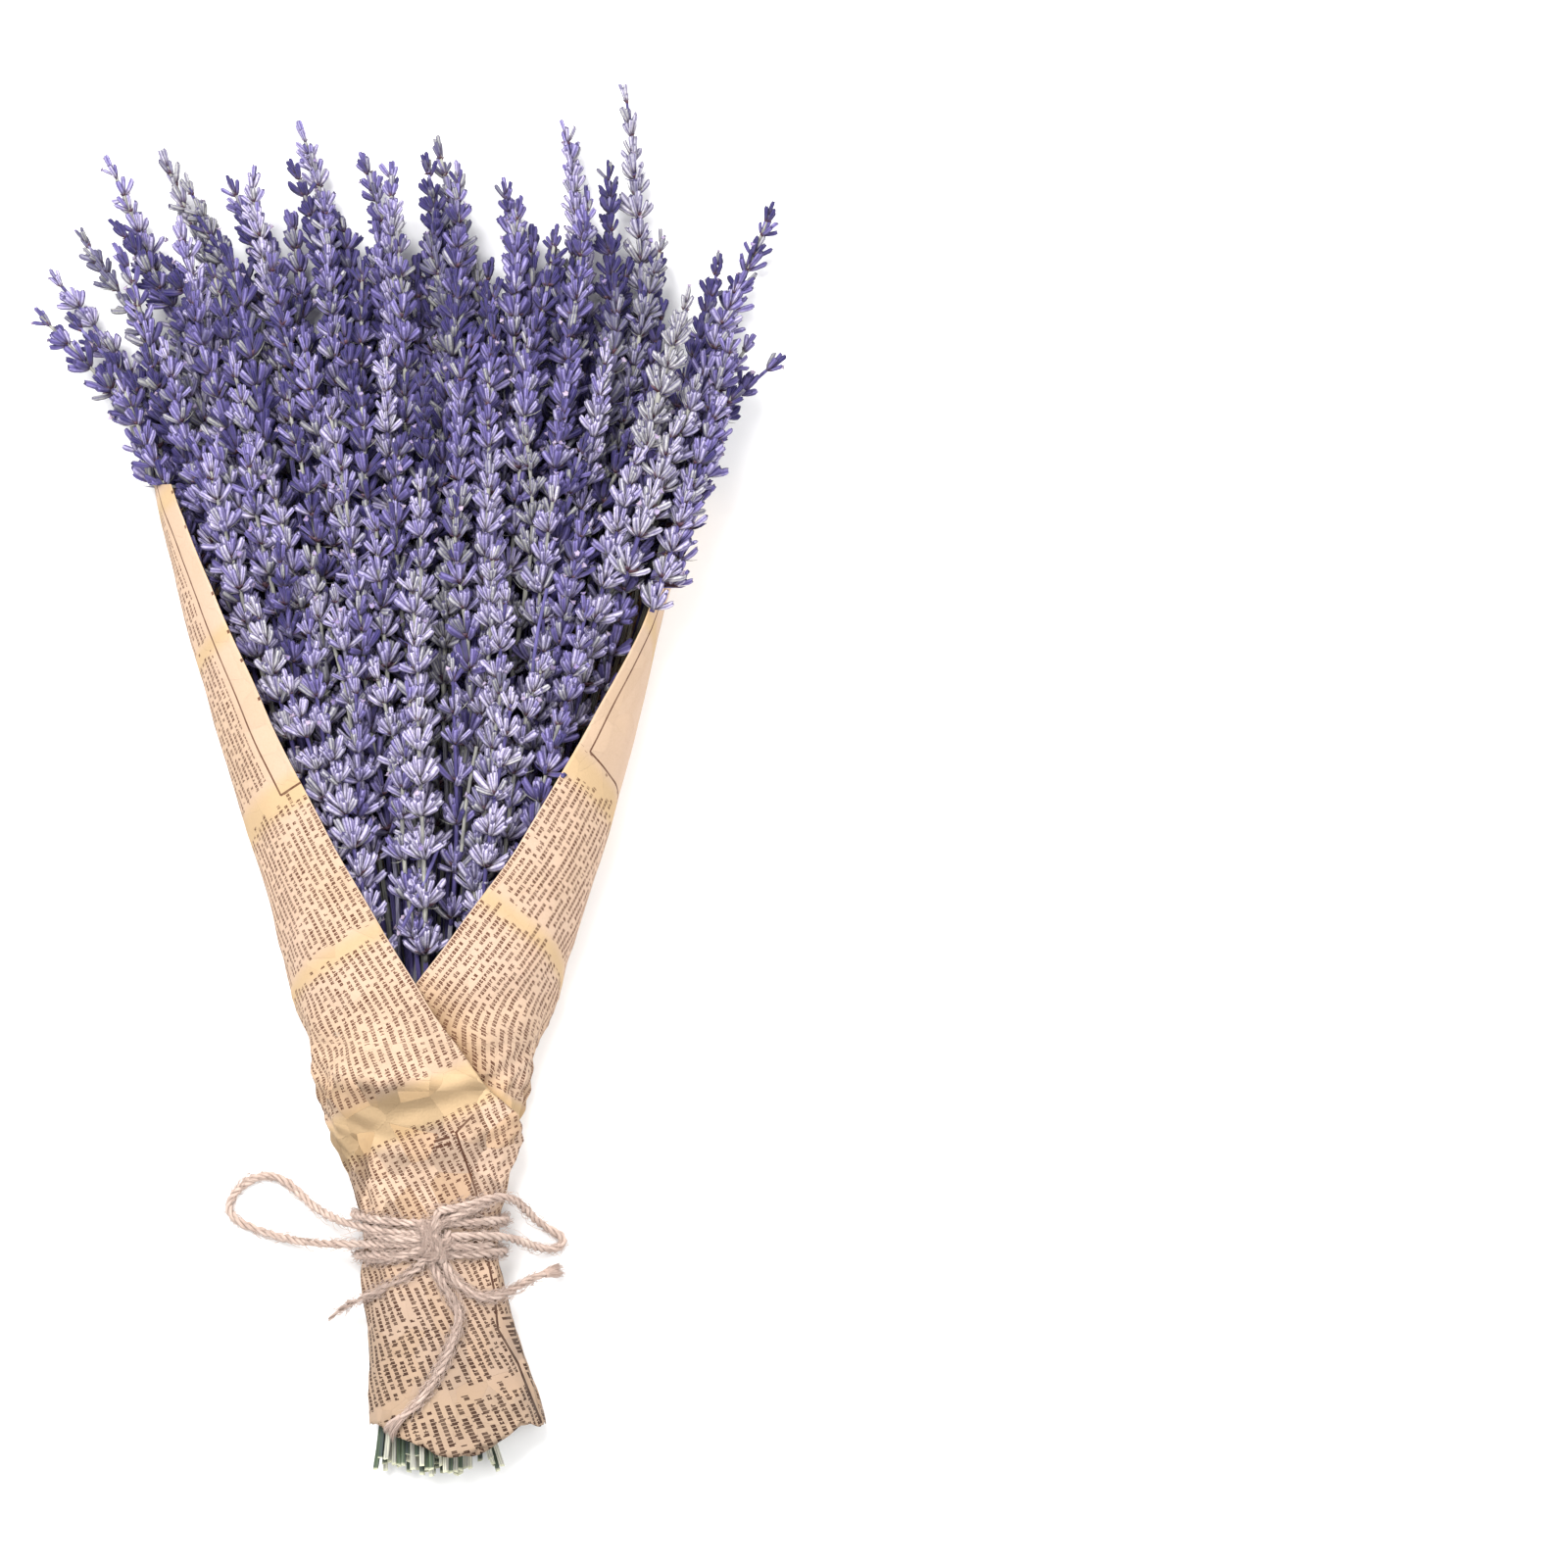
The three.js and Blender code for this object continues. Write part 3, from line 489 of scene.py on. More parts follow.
def filling_stems(k):
    """The stems that stand between layer k and the one above it, half a pitch apart."""
    rng = np.random.default_rng(500 + k)
    lower, upper = layer_stems(k), layer_stems(k + 1)
    last = 2 * len(lower) - 2
    stems = []
    for j in range(last + 1):
        if k == 3 and j % 3 == 0:
            continue
        a, b = lower[j // 2], lower[(j + 1) // 2]
        share = rng.uniform(0.3, 0.5) if j % 2 else rng.uniform(0.55, 0.75)
        over = upper[min(len(upper) - 1, int(j / last * len(upper)))]
        tie_x = (a["tie_x"] + b["tie_x"]) / 2
        base_y = (a["base_y"] + b["base_y"]) / 2 * (1 - share) + over["base_y"] * share
        base_y = base_y + rng.uniform(-9, 9)
        slope = (a["slope"] + b["slope"]) / 2
        base_x = tie_x + slope * (base_y - TIE_HALF) + rng.uniform(-2, 2)
        tip_x = (a["tip"][0] + b["tip"][0]) / 2 + rng.uniform(-9, 9)
        tip_y = ((a["tip"][1] + b["tip"][1]) / 2 * (1 - 0.6 * share) + over["tip"][1] * 0.6 * share
                 - rng.uniform(0, 30) * (1 if k < 2 else 0.3))
        stems.append(stem_of(
            tie_x, base_x, base_y, (tip_x, tip_y), heights=between_layers(k, share),
            start=max(base_y, tip_y - rng.uniform(66, 90)),
            cut=CUT_Y + rng.uniform(-4, 4) if j % 2 else 14.0,
            seed=200 + k * 30 + j, wander=1.4, bow=rng.uniform(-4.5, 4.5)))
        if k > 1:                            # low in front the spikes begin where the stems come free
            tip = (base_x + slope * 78 + rng.uniform(-3, 3), base_y + rng.uniform(70, 86))
            stems[-1].update(tip=tip, start=base_y)
    return stems


def overhanging_stems():
    """Spikes at the right that lean out over the edge of the paper."""
    rng = np.random.default_rng(680)
    stems = []
    for i, (x, y, z) in enumerate(OVERHANGING_TIPS):
        base_y = y - rng.uniform(44, 52)
        base_x = x - x / (y + 20) * (y - base_y)
        heights = np.interp(STATIONS, [20, 120, y - 50, y], [12, 20, z - 1, z])
        stems.append(stem_of(10.0, base_x, base_y, (x, y), heights=heights, seed=720 + i, wander=1.0))
    return stems


def back_stems():
    """Short spikes that lie deep in the wrap, behind the others."""
    rng = np.random.default_rng(640)
    high_up = BACK_STEMS - DEEP_BACK_STEMS
    stems = []
    for i in range(BACK_STEMS):
        if i < DEEP_BACK_STEMS:
            place = i / DEEP_BACK_STEMS * 2 - 1
            base_y = rng.uniform(88, 176)
        else:
            place = (i - DEEP_BACK_STEMS + rng.uniform(0.2, 0.8)) / high_up * 2 - 1
            base_y = rng.uniform(194, 222)
        right = wrap_levels(np.array([base_y + 50]))[0, 1]
        base_x = FAN_X + place * (right - 12) * 0.8
        tie_x = TIE_X + place * 10
        tip_y = base_y + rng.uniform(58, 80)
        slope = (base_x - tie_x) / (base_y - TIE_HALF)
        stems.append(stem_of(
            tie_x, base_x, base_y, (base_x + slope * (tip_y - base_y), tip_y),
            heights=HEIGHTS[0] + rng.uniform(1.5, 5.5), seed=700 + i, hidden=True))
    return stems


def crown_stems():
    """Spikes between the tall ones, which close the top of the bunch."""
    rng = np.random.default_rng(650)
    stems = []
    for i in range(CROWN_STEMS):
        x = -94 + i * 8.9 + rng.uniform(-3, 3)
        tip_y = np.interp(x, CROWN_X, CROWN_Y) - rng.uniform(-4, 12)
        base_y = tip_y - rng.uniform(58, 70)
        heights = between_layers(0, rng.uniform(0.1, 0.9))
        tie_x = TIE_X + x * 0.12
        base_x = tie_x + (x - tie_x) * (base_y - TIE_HALF) / (tip_y - TIE_HALF) + rng.uniform(-2, 2)
        stems.append(stem_of(
            tie_x, base_x, base_y, (x, tip_y), heights=heights, seed=850 + i, hidden=True))
    return stems


def side_stems():
    """The stems at both sides of the cut end, which splay out below the tie."""
    rng = np.random.default_rng(660)
    stems = []
    for i in range(SIDE_STEMS):
        side = -1 if i % 2 else 1
        z = 5.2 + (i // 2) * 0.95
        x = 2.8 + side * (12.0 + 1.7 * (i // 2 % 2))
        stems.append(stem_of(
            x, x, 60.0, (x, 90.0), heights=np.full(len(STATIONS), z), start=12.0,
            cut=CUT_Y + rng.uniform(-4, 3),
            splay=(1.22 if side < 0 else 1.5) + rng.uniform(-0.08, 0.08), seed=760 + i, wander=0.0))
    return stems


def stem_line(stem, y):
    """Points on a stem's middle line at heights y along the bunch."""
    y = np.asarray(y, float)
    seed, (tip_x, tip_y), base_y = stem["seed"], stem["tip"], stem["base_y"]
    out = np.clip((-TIE_HALF - y) / (-TIE_HALF - CUT_Y), 0, None)
    spread = (stem["splay"] - 1) * out ** 3 if "splay" in stem else (CUT_SPLAY - 1) * out
    below = TIE_X + (stem["tie_x"] - TIE_X) * (1 + spread)
    above = stem["tie_x"] + stem["slope"] * np.clip(y - TIE_HALF, 0, None)
    straight = stem["base_x"] + stem["slope"] * (tip_y - base_y)
    along = np.clip((y - base_y) / (tip_y - base_y), 0, None)
    x = np.where(y < -TIE_HALF, below, above + (tip_x - straight) * along ** 1.5)
    z = eased(STATIONS, stem["heights"], y, 12)
    arch = np.clip((y - base_y + 40) / (tip_y - base_y + 40), 0, 1.15)
    x = x + stem.get("bow", 0) * np.sin(np.pi * arch)
    sway = smoothstep(y, 20, 110) * stem["wander"]
    x = x + sway * np.sin(y / (19 + 5 * draw(seed, 1)) + 6 * draw(seed, 2))
    z = z + 0.6 * sway * np.sin(y / (23 + 5 * draw(seed, 3)) + 6 * draw(seed, 4))
    return np.stack([x, y, z], axis=-1)


def stem_frames(stem, y):
    along = unit(stem_line(stem, np.asarray(y) + 1.0) - stem_line(stem, np.asarray(y) - 1.0))
    left = unit(np.cross(np.array([0, 0, 1.0]), along))
    return along, left, np.cross(along, left)


# ------------------------------------------------------------------ modelling the small forms


def start_form(add, **where):
    """Deselects everything and adds a primitive, open in edit mode and selected all over."""
    if bpy.context.mode != "OBJECT":
        bpy.ops.object.mode_set(mode="OBJECT")
    bpy.ops.object.select_all(action="DESELECT")
    add(**where)
    bpy.ops.object.mode_set(mode="EDIT")
    bpy.ops.mesh.select_all(action="SELECT")
    return bpy.context.object


def grow(rise, factor):
    """Extrudes what is selected upwards and widens its new end."""
    bpy.ops.mesh.extrude_region_move(TRANSFORM_OT_translate={"value": (0, 0, rise)})
    bpy.ops.transform.resize(value=(factor, factor, 1))


def take_form(obj, shape=None):
    """Reads the modelled mesh as a form with its height as `along`, and removes the object."""
    bpy.ops.object.mode_set(mode="EDIT")
    bpy.ops.mesh.select_all(action="SELECT")
    bpy.ops.mesh.remove_doubles(threshold=1e-5)
    bpy.ops.mesh.normals_make_consistent(inside=False)
    bpy.ops.object.mode_set(mode="OBJECT")
    mesh = obj.data
    points = np.empty(len(mesh.vertices) * 3)
    mesh.vertices.foreach_get("co", points)
    points = points.reshape(-1, 3)
    loops = np.empty(len(mesh.loops), np.int32)
    mesh.loops.foreach_get("vertex_index", loops)
    totals = np.empty(len(mesh.polygons), np.int32)
    mesh.polygons.foreach_get("loop_total", totals)
    bpy.data.objects.remove(obj)
    bpy.data.meshes.remove(mesh)
    # the tools leave the faces in any order, so they are sorted, each from its lowest corner on
    faces = np.split(loops, np.cumsum(totals)[:-1])
    faces = sorted((np.roll(face, -face.argmin()) for face in faces), key=tuple)
    along = points[:, 2] / max(points[:, 2].max(), 1e-6)
    if shape is not None:
        points, along = shape(points, along)
    # round the form, faces across the seam keep their width
    turn = np.arctan2(points[:, 1], points[:, 0]) / (2 * np.pi)
    uv = []
    for face in faces:
        u = turn[face]
        if u.max() - u.min() > 0.5:
            u[u < 0] += 1
        uv.append(np.column_stack([u, along[face]]))
    return Form(points, np.concatenate(faces), [len(face) for face in faces], np.vstack(uv), along)


def calyx_form(sides, steps):
    """A calyx one long: narrow at its foot, a ribbed tube, and a blunt mouth with short teeth."""
    obj = start_form(bpy.ops.mesh.primitive_circle_add, vertices=sides, radius=0.06, fill_type="NGON")
    for rise, factor in steps:
        grow(rise, factor)
    bpy.ops.mesh.inset(thickness=0.035)
    bpy.ops.transform.translate(value=(0, 0, -0.07))
    bpy.ops.object.mode_set(mode="OBJECT")

    def shape(points, along):
        rim = along > 0.99
        teeth = np.where(np.arange(len(points))[rim] % 2 == 0, 0.035, -0.025)
        points[rim, 2] += teeth
        inside = (along > 0.9) & (along < 0.95) & (np.hypot(points[:, 0], points[:, 1]) < 0.09)
        return points, np.where(inside, 1.25, np.minimum(along, 1.0))

    return take_form(obj, shape)


def withered_flower_form():
    """A small shrivelled corolla one wide, standing out of a calyx."""
    obj = start_form(bpy.ops.mesh.primitive_circle_add, vertices=5, radius=0.22, fill_type="NGON")
    grow(0.35, 1.1)
    grow(0.3, 1.9)
    grow(0.1, 1.35)
    bpy.ops.mesh.inset(thickness=0.2)
    bpy.ops.transform.translate(value=(0, 0, -0.22))
    bpy.ops.object.mode_set(mode="OBJECT")

    def shape(points, along):
        wide = np.hypot(points[:, 0], points[:, 1]) > 0.4
        wave = np.sin(np.arange(len(points)) * 2.4)
        points[wide, 2] += 0.2 * wave[wide]
        points[wide, :2] *= (1 + 0.25 * wave[wide])[:, None]
        return points, np.minimum(along, 1)

    return take_form(obj, shape)


def deep_calyx_form():
    """A plainer calyx for the spikes deep in the bunch."""
    obj = start_form(bpy.ops.mesh.primitive_circle_add, vertices=4, radius=0.07, fill_type="NGON")
    for rise, factor in ((0.3, 2.1), (0.5, 1.12), (0.2, 0.6)):
        grow(rise, factor)
    return take_form(obj)


def bract_form():
    """A papery bract one long: pointed, cupped towards +Y and keeled."""
    obj = start_form(bpy.ops.mesh.primitive_grid_add, x_subdivisions=2, y_subdivisions=2, size=1)
    bpy.ops.object.mode_set(mode="OBJECT")
    solid = obj.modifiers.new("sheet", "SOLIDIFY")
    solid.thickness = 0.04
    bpy.ops.object.modifier_apply(modifier="sheet")

    def shape(points, along):
        t = points[:, 1] + 0.5
        half = np.interp(t, [0, 0.5, 1], [0.18, 0.38, 0.03])
        across = points[:, 0] * 2
        cup = 0.3 * across ** 2 * half / 0.38
        flat = np.column_stack([across * half, cup + points[:, 2] + 0.1 * t ** 2, t])
        return flat, t

    return take_form(obj, shape)


def hair_form():
    """A thin bracteole one long, curving towards +Y."""
    obj = start_form(bpy.ops.mesh.primitive_circle_add, vertices=3, radius=0.035, fill_type="NGON")
    grow(0.34, 1.0)
    grow(0.33, 0.85)
    grow(0.33, 0.35)
    bpy.ops.object.mode_set(mode="OBJECT")

    def shape(points, along):
        points[:, 1] += 0.35 * along ** 2
        return points, along

    return take_form(obj, shape)


def spread_copies(form, origin, toward, out, size, bend, rng):
    """Copies of form standing at origin along `toward`, their hollow side turned to `out`."""
    roll = rng.uniform(0, 2 * np.pi, len(origin))
    x, y, z = form.points.T
    cos, sin = np.cos(roll)[:, None], np.sin(roll)[:, None]
    if bend is None:                       # leaves keep their hollow side up
        px, py, curl = x[None] * size[:, :1], y[None] * size[:, :1], 0
    else:
        px = (x * cos - y * sin) * size[:, :1]
        py = (x * sin + y * cos) * size[:, :1]
        curl = bend[:, None] * z[None] ** 2 * size[:, 1:]
    pz = z[None] * size[:, 1:]
    side = np.cross(out, toward)
    return (origin[:, None] + side[:, None] * px[..., None] + out[:, None] * (py + curl)[..., None]
            + toward[:, None] * pz[..., None])


# ------------------------------------------------------------------ flowering spikes

CALYX, BRACT, RACHIS, BLOOM = range(4)     # the materials of a spike, in the order of its slots
CALYX_MOUTH = 0.35                         # width of the calyx form at its mouth


@lru_cache(maxsize=None)
def small_forms():
    """The forms that the spikes are made of, each modelled once."""
    return dict(
        full=calyx_form(6, [(0.17, 1.8), (0.25, 1.3), (0.33, 1.12), (0.17, 0.92), (0.08, 0.66)]),
        slim=calyx_form(5, [(0.17, 1.8), (0.3, 1.14), (0.4, 1.1), (0.13, 0.72)]),
        deep=deep_calyx_form(), bloom=withered_flower_form(), bract=bract_form(), hair=hair_form())


def ring_of(count, turn, lean, jitter, rng, frame):
    """Rays, directions and upward turns of a ring of parts that lean out from a spike."""
    a, l, u = frame
    phi = turn + (np.arange(count) + rng.uniform(-0.3, 0.3, count)) / count * 2 * np.pi
    lean = np.radians(lean + rng.normal(0, jitter, count))
    ray = np.cos(phi)[:, None] * l + np.sin(phi)[:, None] * u
    toward = np.cos(lean)[:, None] * a + np.sin(lean)[:, None] * ray
    return ray, toward, unit(np.sin(lean)[:, None] * a - np.cos(lean)[:, None] * ray)


def marked(form, lot, dry, along=None):
    """Tint of every point of a form's copies: lot, place along the form, dryness."""
    lot, dry = np.atleast_1d(lot), np.atleast_1d(dry)
    tint = np.ones((len(lot), len(form.points), 4))
    tint[..., 0] = lot[:, None]
    tint[..., 1] = form.along[None] if along is None else along
    tint[..., 2] = dry[:, None]
    return tint


def whorl_places(start, tip, spacing, rng):
    """Where a spike's whorls stand: shares of its length, and heights along the bunch."""
    length = tip - start
    spacing = spacing * rng.uniform(0.88, 1.12) * np.interp(start, [80, 215], [1.36, 0.98])
    whorls = max(4, int(round(length / spacing)))
    share = (np.arange(whorls) + 0.2) / whorls
    ys = start + length * (share + 0.4 * share * (1 - share))
    ys[1:-1] += rng.uniform(-1, 1, whorls - 2)
    loose = rng.uniform(0, 3.5) * (rng.random() < 0.3)   # the last whorls stand further apart on some
    return share, ys + (loose * np.clip((share - 0.75) / 0.25, 0, 1) - loose * 0.5)


def add_rachis(gathering, stem, ys, width, lot, rng):
    """The stem between the whorls at heights ys, thicker at each; gives half its width at its foot."""
    sides, ends = 8, [stem["start"], stem["tip"][1]]
    step = 7 if stem.get("hidden") else 3.2
    y = np.linspace(ends[0], ends[1] - 1.5, max(8, int((ends[1] - ends[0]) / step)))
    _, left, up = stem_frames(stem, y)
    half = width / 2 * np.interp(y, ends, [1.05, 0.6])
    node = np.exp(-((y[:, None] - ys[None]) / 1.3) ** 2).max(axis=1) * 0.3 + 1
    outline = round_outline(sides, 1, np.pi / 8)[None] * (half * node)[:, None, None]
    tone = np.repeat(np.interp(y, ends, [0.7, 1.0]), sides)
    tint = tint_rows(lot, tone, rng.random())
    placed = tube_points(stem_line(stem, y), left, up, outline)
    gathering.add(tube(len(y), sides), kept_inside(placed[None]), tint[None], RACHIS)
    return half[0]


def add_calyxes(gathering, stem, origin, frames, size, lot, dryness, t, ring, long, wide, rng):
    """One ring of calyxes of a whorl, with a withered bloom in a few; t is the whorl's share."""
    _, lean, lift, _ = ring
    _, toward, out = frames
    forms, hidden, count = small_forms(), stem.get("hidden", False), len(origin)
    scale = size * rng.uniform(0.82, 1.12, count)
    kind = rng.random(count)
    tone = np.clip(lot + rng.normal(0, 0.13, count) + 0.06 * (lean < 20), 0, 1)
    dry = np.clip(rng.random(count) ** 6 + dryness, 0, 1)
    tall = long * (1 - 0.17 * t)
    large = kind < (0.62 if lift < 0 else 0.12)
    for name, chosen, width in (("full", large, 1.0), ("slim", ~large, 0.95)):
        if chosen.any():
            if hidden and (stem["seed"] < 850 or lean < 40):
                name = "deep"
            sizes = np.column_stack([scale * wide * width * (1 + 0.06 * t), scale * tall])[chosen]
            bend = rng.uniform(0.1, 0.3, int(chosen.sum())) * (lean / 60)
            placed = spread_copies(forms[name], origin[chosen], toward[chosen], out[chosen], sizes, bend, rng)
            tint = marked(forms[name], tone[chosen], dry[chosen])
            gathering.add(forms[name], kept_inside(placed), tint, CALYX)
    blooms = kind > 0.95
    if blooms.any() and not hidden:
        n, bloom = int(blooms.sum()), forms["bloom"]
        mouth = origin[blooms] + toward[blooms] * (scale[blooms] * tall * 0.9)[:, None]
        sizes, bend = np.full((n, 2), 1.6) * size, np.full(n, 0.3)
        placed = spread_copies(bloom, mouth, toward[blooms], out[blooms], sizes, bend, rng)
        gathering.add(bloom, kept_inside(placed), marked(bloom, rng.random(n), np.full(n, 0.3)), BLOOM)


def add_bracts(gathering, stem, centre, axes, radius, size, t, turn, rng):
    """Bracts under the calyxes and thin bracteoles that curl out and up."""
    hidden = stem.get("hidden", False)
    for name, count, low, high, reach, slot in (
            ("bract", 6 if t < 0.5 else 3, 50, 72, 3.5 - 1.5 * t, BRACT), ("hair", 4, 68, 96, 5.2, RACHIS)):
        if name == "hair" and (t > 0.75 or hidden):
            continue
        count, form = 3 if hidden else count, small_forms()[name]
        ray, toward, out = ring_of(count, turn, rng.uniform(low, high) - 18 * t, 8, rng, axes)
        origin = centre + ray * radius * 0.6 - axes[0] * rng.uniform(0.2, 0.8, count)[:, None]
        scale = size * rng.uniform(0.75, 1.15, count) * reach
        placed = spread_copies(form, origin, toward, out, np.column_stack([scale, scale]), None, rng)
        along = None if slot == BRACT else 0.95
        tint = marked(form, rng.random(count), rng.random(count), along)
        gathering.add(form, kept_inside(placed), tint, slot)


def add_spike(gathering, stem, settings, stems, lot):
    """One flowering spike: the rachis and its whorls of calyxes, bracts and bracteoles."""
    rng = np.random.default_rng(1000 + stem["seed"])
    start, tip = stem["start"], stem["tip"][1]
    share, ys = whorl_places(start, tip, settings.whorl_spacing / MM, rng)
    whorls = len(ys)
    long, wide = settings.calyx_length / MM, settings.calyx_width / MM / CALYX_MOUTH
    slender = rng.uniform(0.88, 1.08)
    vigour = stem.get("vigour", rng.uniform(0.72, 1.08))
    dryness = stem.get("dry", 0.5 * (rng.random() < 0.1) + 0.25 * (rng.random() < 0.12))
    foot = add_rachis(gathering, stem, ys, stems.rachis_width / MM, lot, rng)

    for w, t in enumerate(share):
        centre = stem_line(stem, ys[w])
        axes = [v[0] for v in stem_frames(stem, ys[w:w + 1])]
        axes[0] = unit(axes[0] + rng.normal(0, 0.1) * axes[1] + rng.normal(0, 0.1) * axes[2])
        size = slender * np.interp(start, [90, 190], [1.12, 1.0])
        size = size * (1 - 0.24 * max(0.0, (t - 0.5) / 0.5) ** 1.2) * rng.uniform(0.92, 1.07)
        if w == 0 and stem["seed"] > 200 and rng.random() < 0.4:
            size *= 0.82
        turn = rng.uniform(0, 6.28)
        radius = foot * (1 - 0.4 * t)
        full = 1 + (vigour - 1) * min(1, 0.4 + t) - 0.36 * t ** 2
        # rings of calyxes: how many, their lean in degrees, how far up they stand, and the jitter
        outer = settings.outer_calyxes * full + rng.uniform(-1, 0.8)
        inner = settings.inner_calyxes * full + rng.uniform(-0.7, 0.7)
        rings = [(outer, np.interp(t, [0, 0.5, 1], [66, 54, 42]), -0.3, 7 + 6 * t),
                 (inner, np.interp(t, [0, 0.5, 1], [36, 31, 23]), 0.6, 8 + 4 * t),
                 (3.2 * full, 12, 1.3, 7)]
        if w == whorls - 1:
            rings = [(4, 27, 0.0, 12), (2, 8, 2.0, 5)]
        elif w == whorls - 2:
            rings = rings[:2]
        for ring in rings:
            count = max(2, int(round(ring[0])))
            frames = ring_of(count, turn, ring[1], ring[3], rng, axes)
            turn += 0.5
            raised = axes[0] * (ring[2] + rng.uniform(-0.9, 0.9, count))[:, None]
            origin = centre + frames[0] * radius * 0.7 + raised
            add_calyxes(gathering, stem, origin, frames, size, lot, dryness, t, ring, long, wide, rng)
        add_bracts(gathering, stem, centre, axes, radius, size, t, turn, rng)


# ------------------------------------------------------------------ the wrap


def wrap_levels(y):
    """Left and right reach, underside and top, and both free edges of the wrap at heights y."""
    table = np.array(WRAP, float)
    return np.stack([eased(table[:, 0], table[:, c], y, 9) for c in range(1, 7)], axis=-1)


WALL_ROWS = np.arange(-58, 231)
WALLS = wrap_levels(WALL_ROWS)[:, :4].T
WALL_HEIGHTS, WALL_REACHES = SECTION[6:1:-1, 1], SECTION[6:1:-1, 0]
WALL_TOP, WALL_MARGIN = 0.57, 1.5          # share of the height up to which flowers stay inside


def kept_inside(points):
    """Presses in the parts that would stand through the side walls of the wrap."""
    x, y, z = points[..., 0], points[..., 1], points[..., 2]
    left, right, low, high = (np.interp(y, WALL_ROWS, column) for column in WALLS)
    height = np.clip((z - low) / (high - low), 0, 1)
    middle, half = (left + right) / 2, (right - left) / 2
    reach = half * np.interp(height, WALL_HEIGHTS, WALL_REACHES) - WALL_MARGIN
    walled = (height < WALL_TOP) & (y > 60) & (y < WALL_ROWS[-1])
    pressed = middle + np.clip(x - middle, -reach, reach)
    return np.stack([np.where(walled, pressed, x), y, z], axis=-1)


def section_points(levels, s):
    """Points (x, z) of the wrap's rounded section; s counts its corners round and round."""
    s = np.asarray(s, float)
    i = np.floor(s).astype(int)
    t = (s - i)[..., None]
    a, b, c, d = (SECTION[(i + n) % CORNERS] for n in (-1, 0, 1, 2))
    curve = smooth_between(a, b, c, d, t) * 0.75 + (b + (c - b) * t) * 0.25
    left, right, low, high = (levels[..., n] for n in range(4))
    x = (left + right) / 2 + (right - left) / 2 * curve[..., 0]
    z = low + (high - low) * np.clip(curve[..., 1], 0, 1.02)
    return np.stack([x, z], axis=-1)


def section_normals(levels, s):
    d = section_points(levels, s + 0.35) - section_points(levels, s - 0.35)
    return unit(np.stack([-d[..., 1], d[..., 0]], axis=-1))


def folds(x):
    """A folded strip: straight slopes between sharp creases, from -1 to 1."""
    return 4 * np.abs(x - np.floor(x + 0.5)) - 1


def crumple(s, y):
    """How far the creased paper stands off its smooth shape, in millimetres."""
    rng = np.random.default_rng(31)
    turn = np.mod(s, CORNERS) / CORNERS * 2 * np.pi
    x, z = np.cos(turn) * 18, np.sin(turn) * 18
    near = np.exp(-np.clip(np.abs(y + 0.5) - 9, 0, None) / 13)
    wave = np.zeros_like(y)
    for n, lot in ((5, 0.5), (8, 0.45), (13, 0.3)):       # gathers run out from the tie
        wave += lot * folds(turn * n / (2 * np.pi) + rng.random() + 0.22 * np.sin(y / 13 + n))
    facets = np.zeros_like(y)
    for lot, pitch in ((0.5, 31), (0.5, 22), (0.42, 14), (0.3, 9), (0.18, 6)):
        d = rng.normal(size=3)
        d /= np.linalg.norm(d)
        across = x * d[0] + y * d[1] + z * d[2] + 2.5 * np.sin(x / 9 + y / 14)
        facets += lot * folds(across / pitch + rng.random())
    above = smoothstep(y, 12, 28) * np.exp(-np.clip(y - 48, 0, None) ** 2 / 30 ** 2)
    below = smoothstep(-y, 12, 26) * 0.55
    soft = 0.45 * np.sin(y / 17 + 2.2 * np.sin(turn * 2)) * smoothstep(y, 60, 130)
    band = 1 - 0.9 * np.exp(-((y + 0.5) / 10.0) ** 4)
    creases = (1.4 * facets + 0.9) * (0.15 + 1.5 * above) + (facets + 0.7) * 0.8 * below
    return ((1.9 * wave + 1.0) * near + creases) * band + soft


# ------------------------------------------------------------------ twine


TWINE_STEP = 0.7
FIBRE_REACH, BRUSH_REACH, BRUSH_FIBRES = 3.1, 2.7, 170


def held_near(points, line, reach):
    """Draws in the points that stand further than reach from a line."""
    away = points[:, None] - line[None]
    far = np.linalg.norm(away, axis=2)
    nearest = far.argmin(axis=1)
    far = far[np.arange(len(points)), nearest]
    foot = line[nearest]
    return foot + (points - foot) * np.minimum(1, reach / np.maximum(far, 1e-9))[:, None]


def add_hair(gathering, hair, thick, taper, rng):
    """A loose fibre along the points of hair. The -1 in its tint tells it from the plies."""
    _, side, up = carried_frames(hair)
    outline = round_outline(3, thick)[None] * np.array(taper)[:, None, None]
    tint = np.array([rng.random(), rng.random(), -1.0, 1.0])
    gathering.add(tube(len(hair), 3), tube_points(hair, side, up, outline), tint)


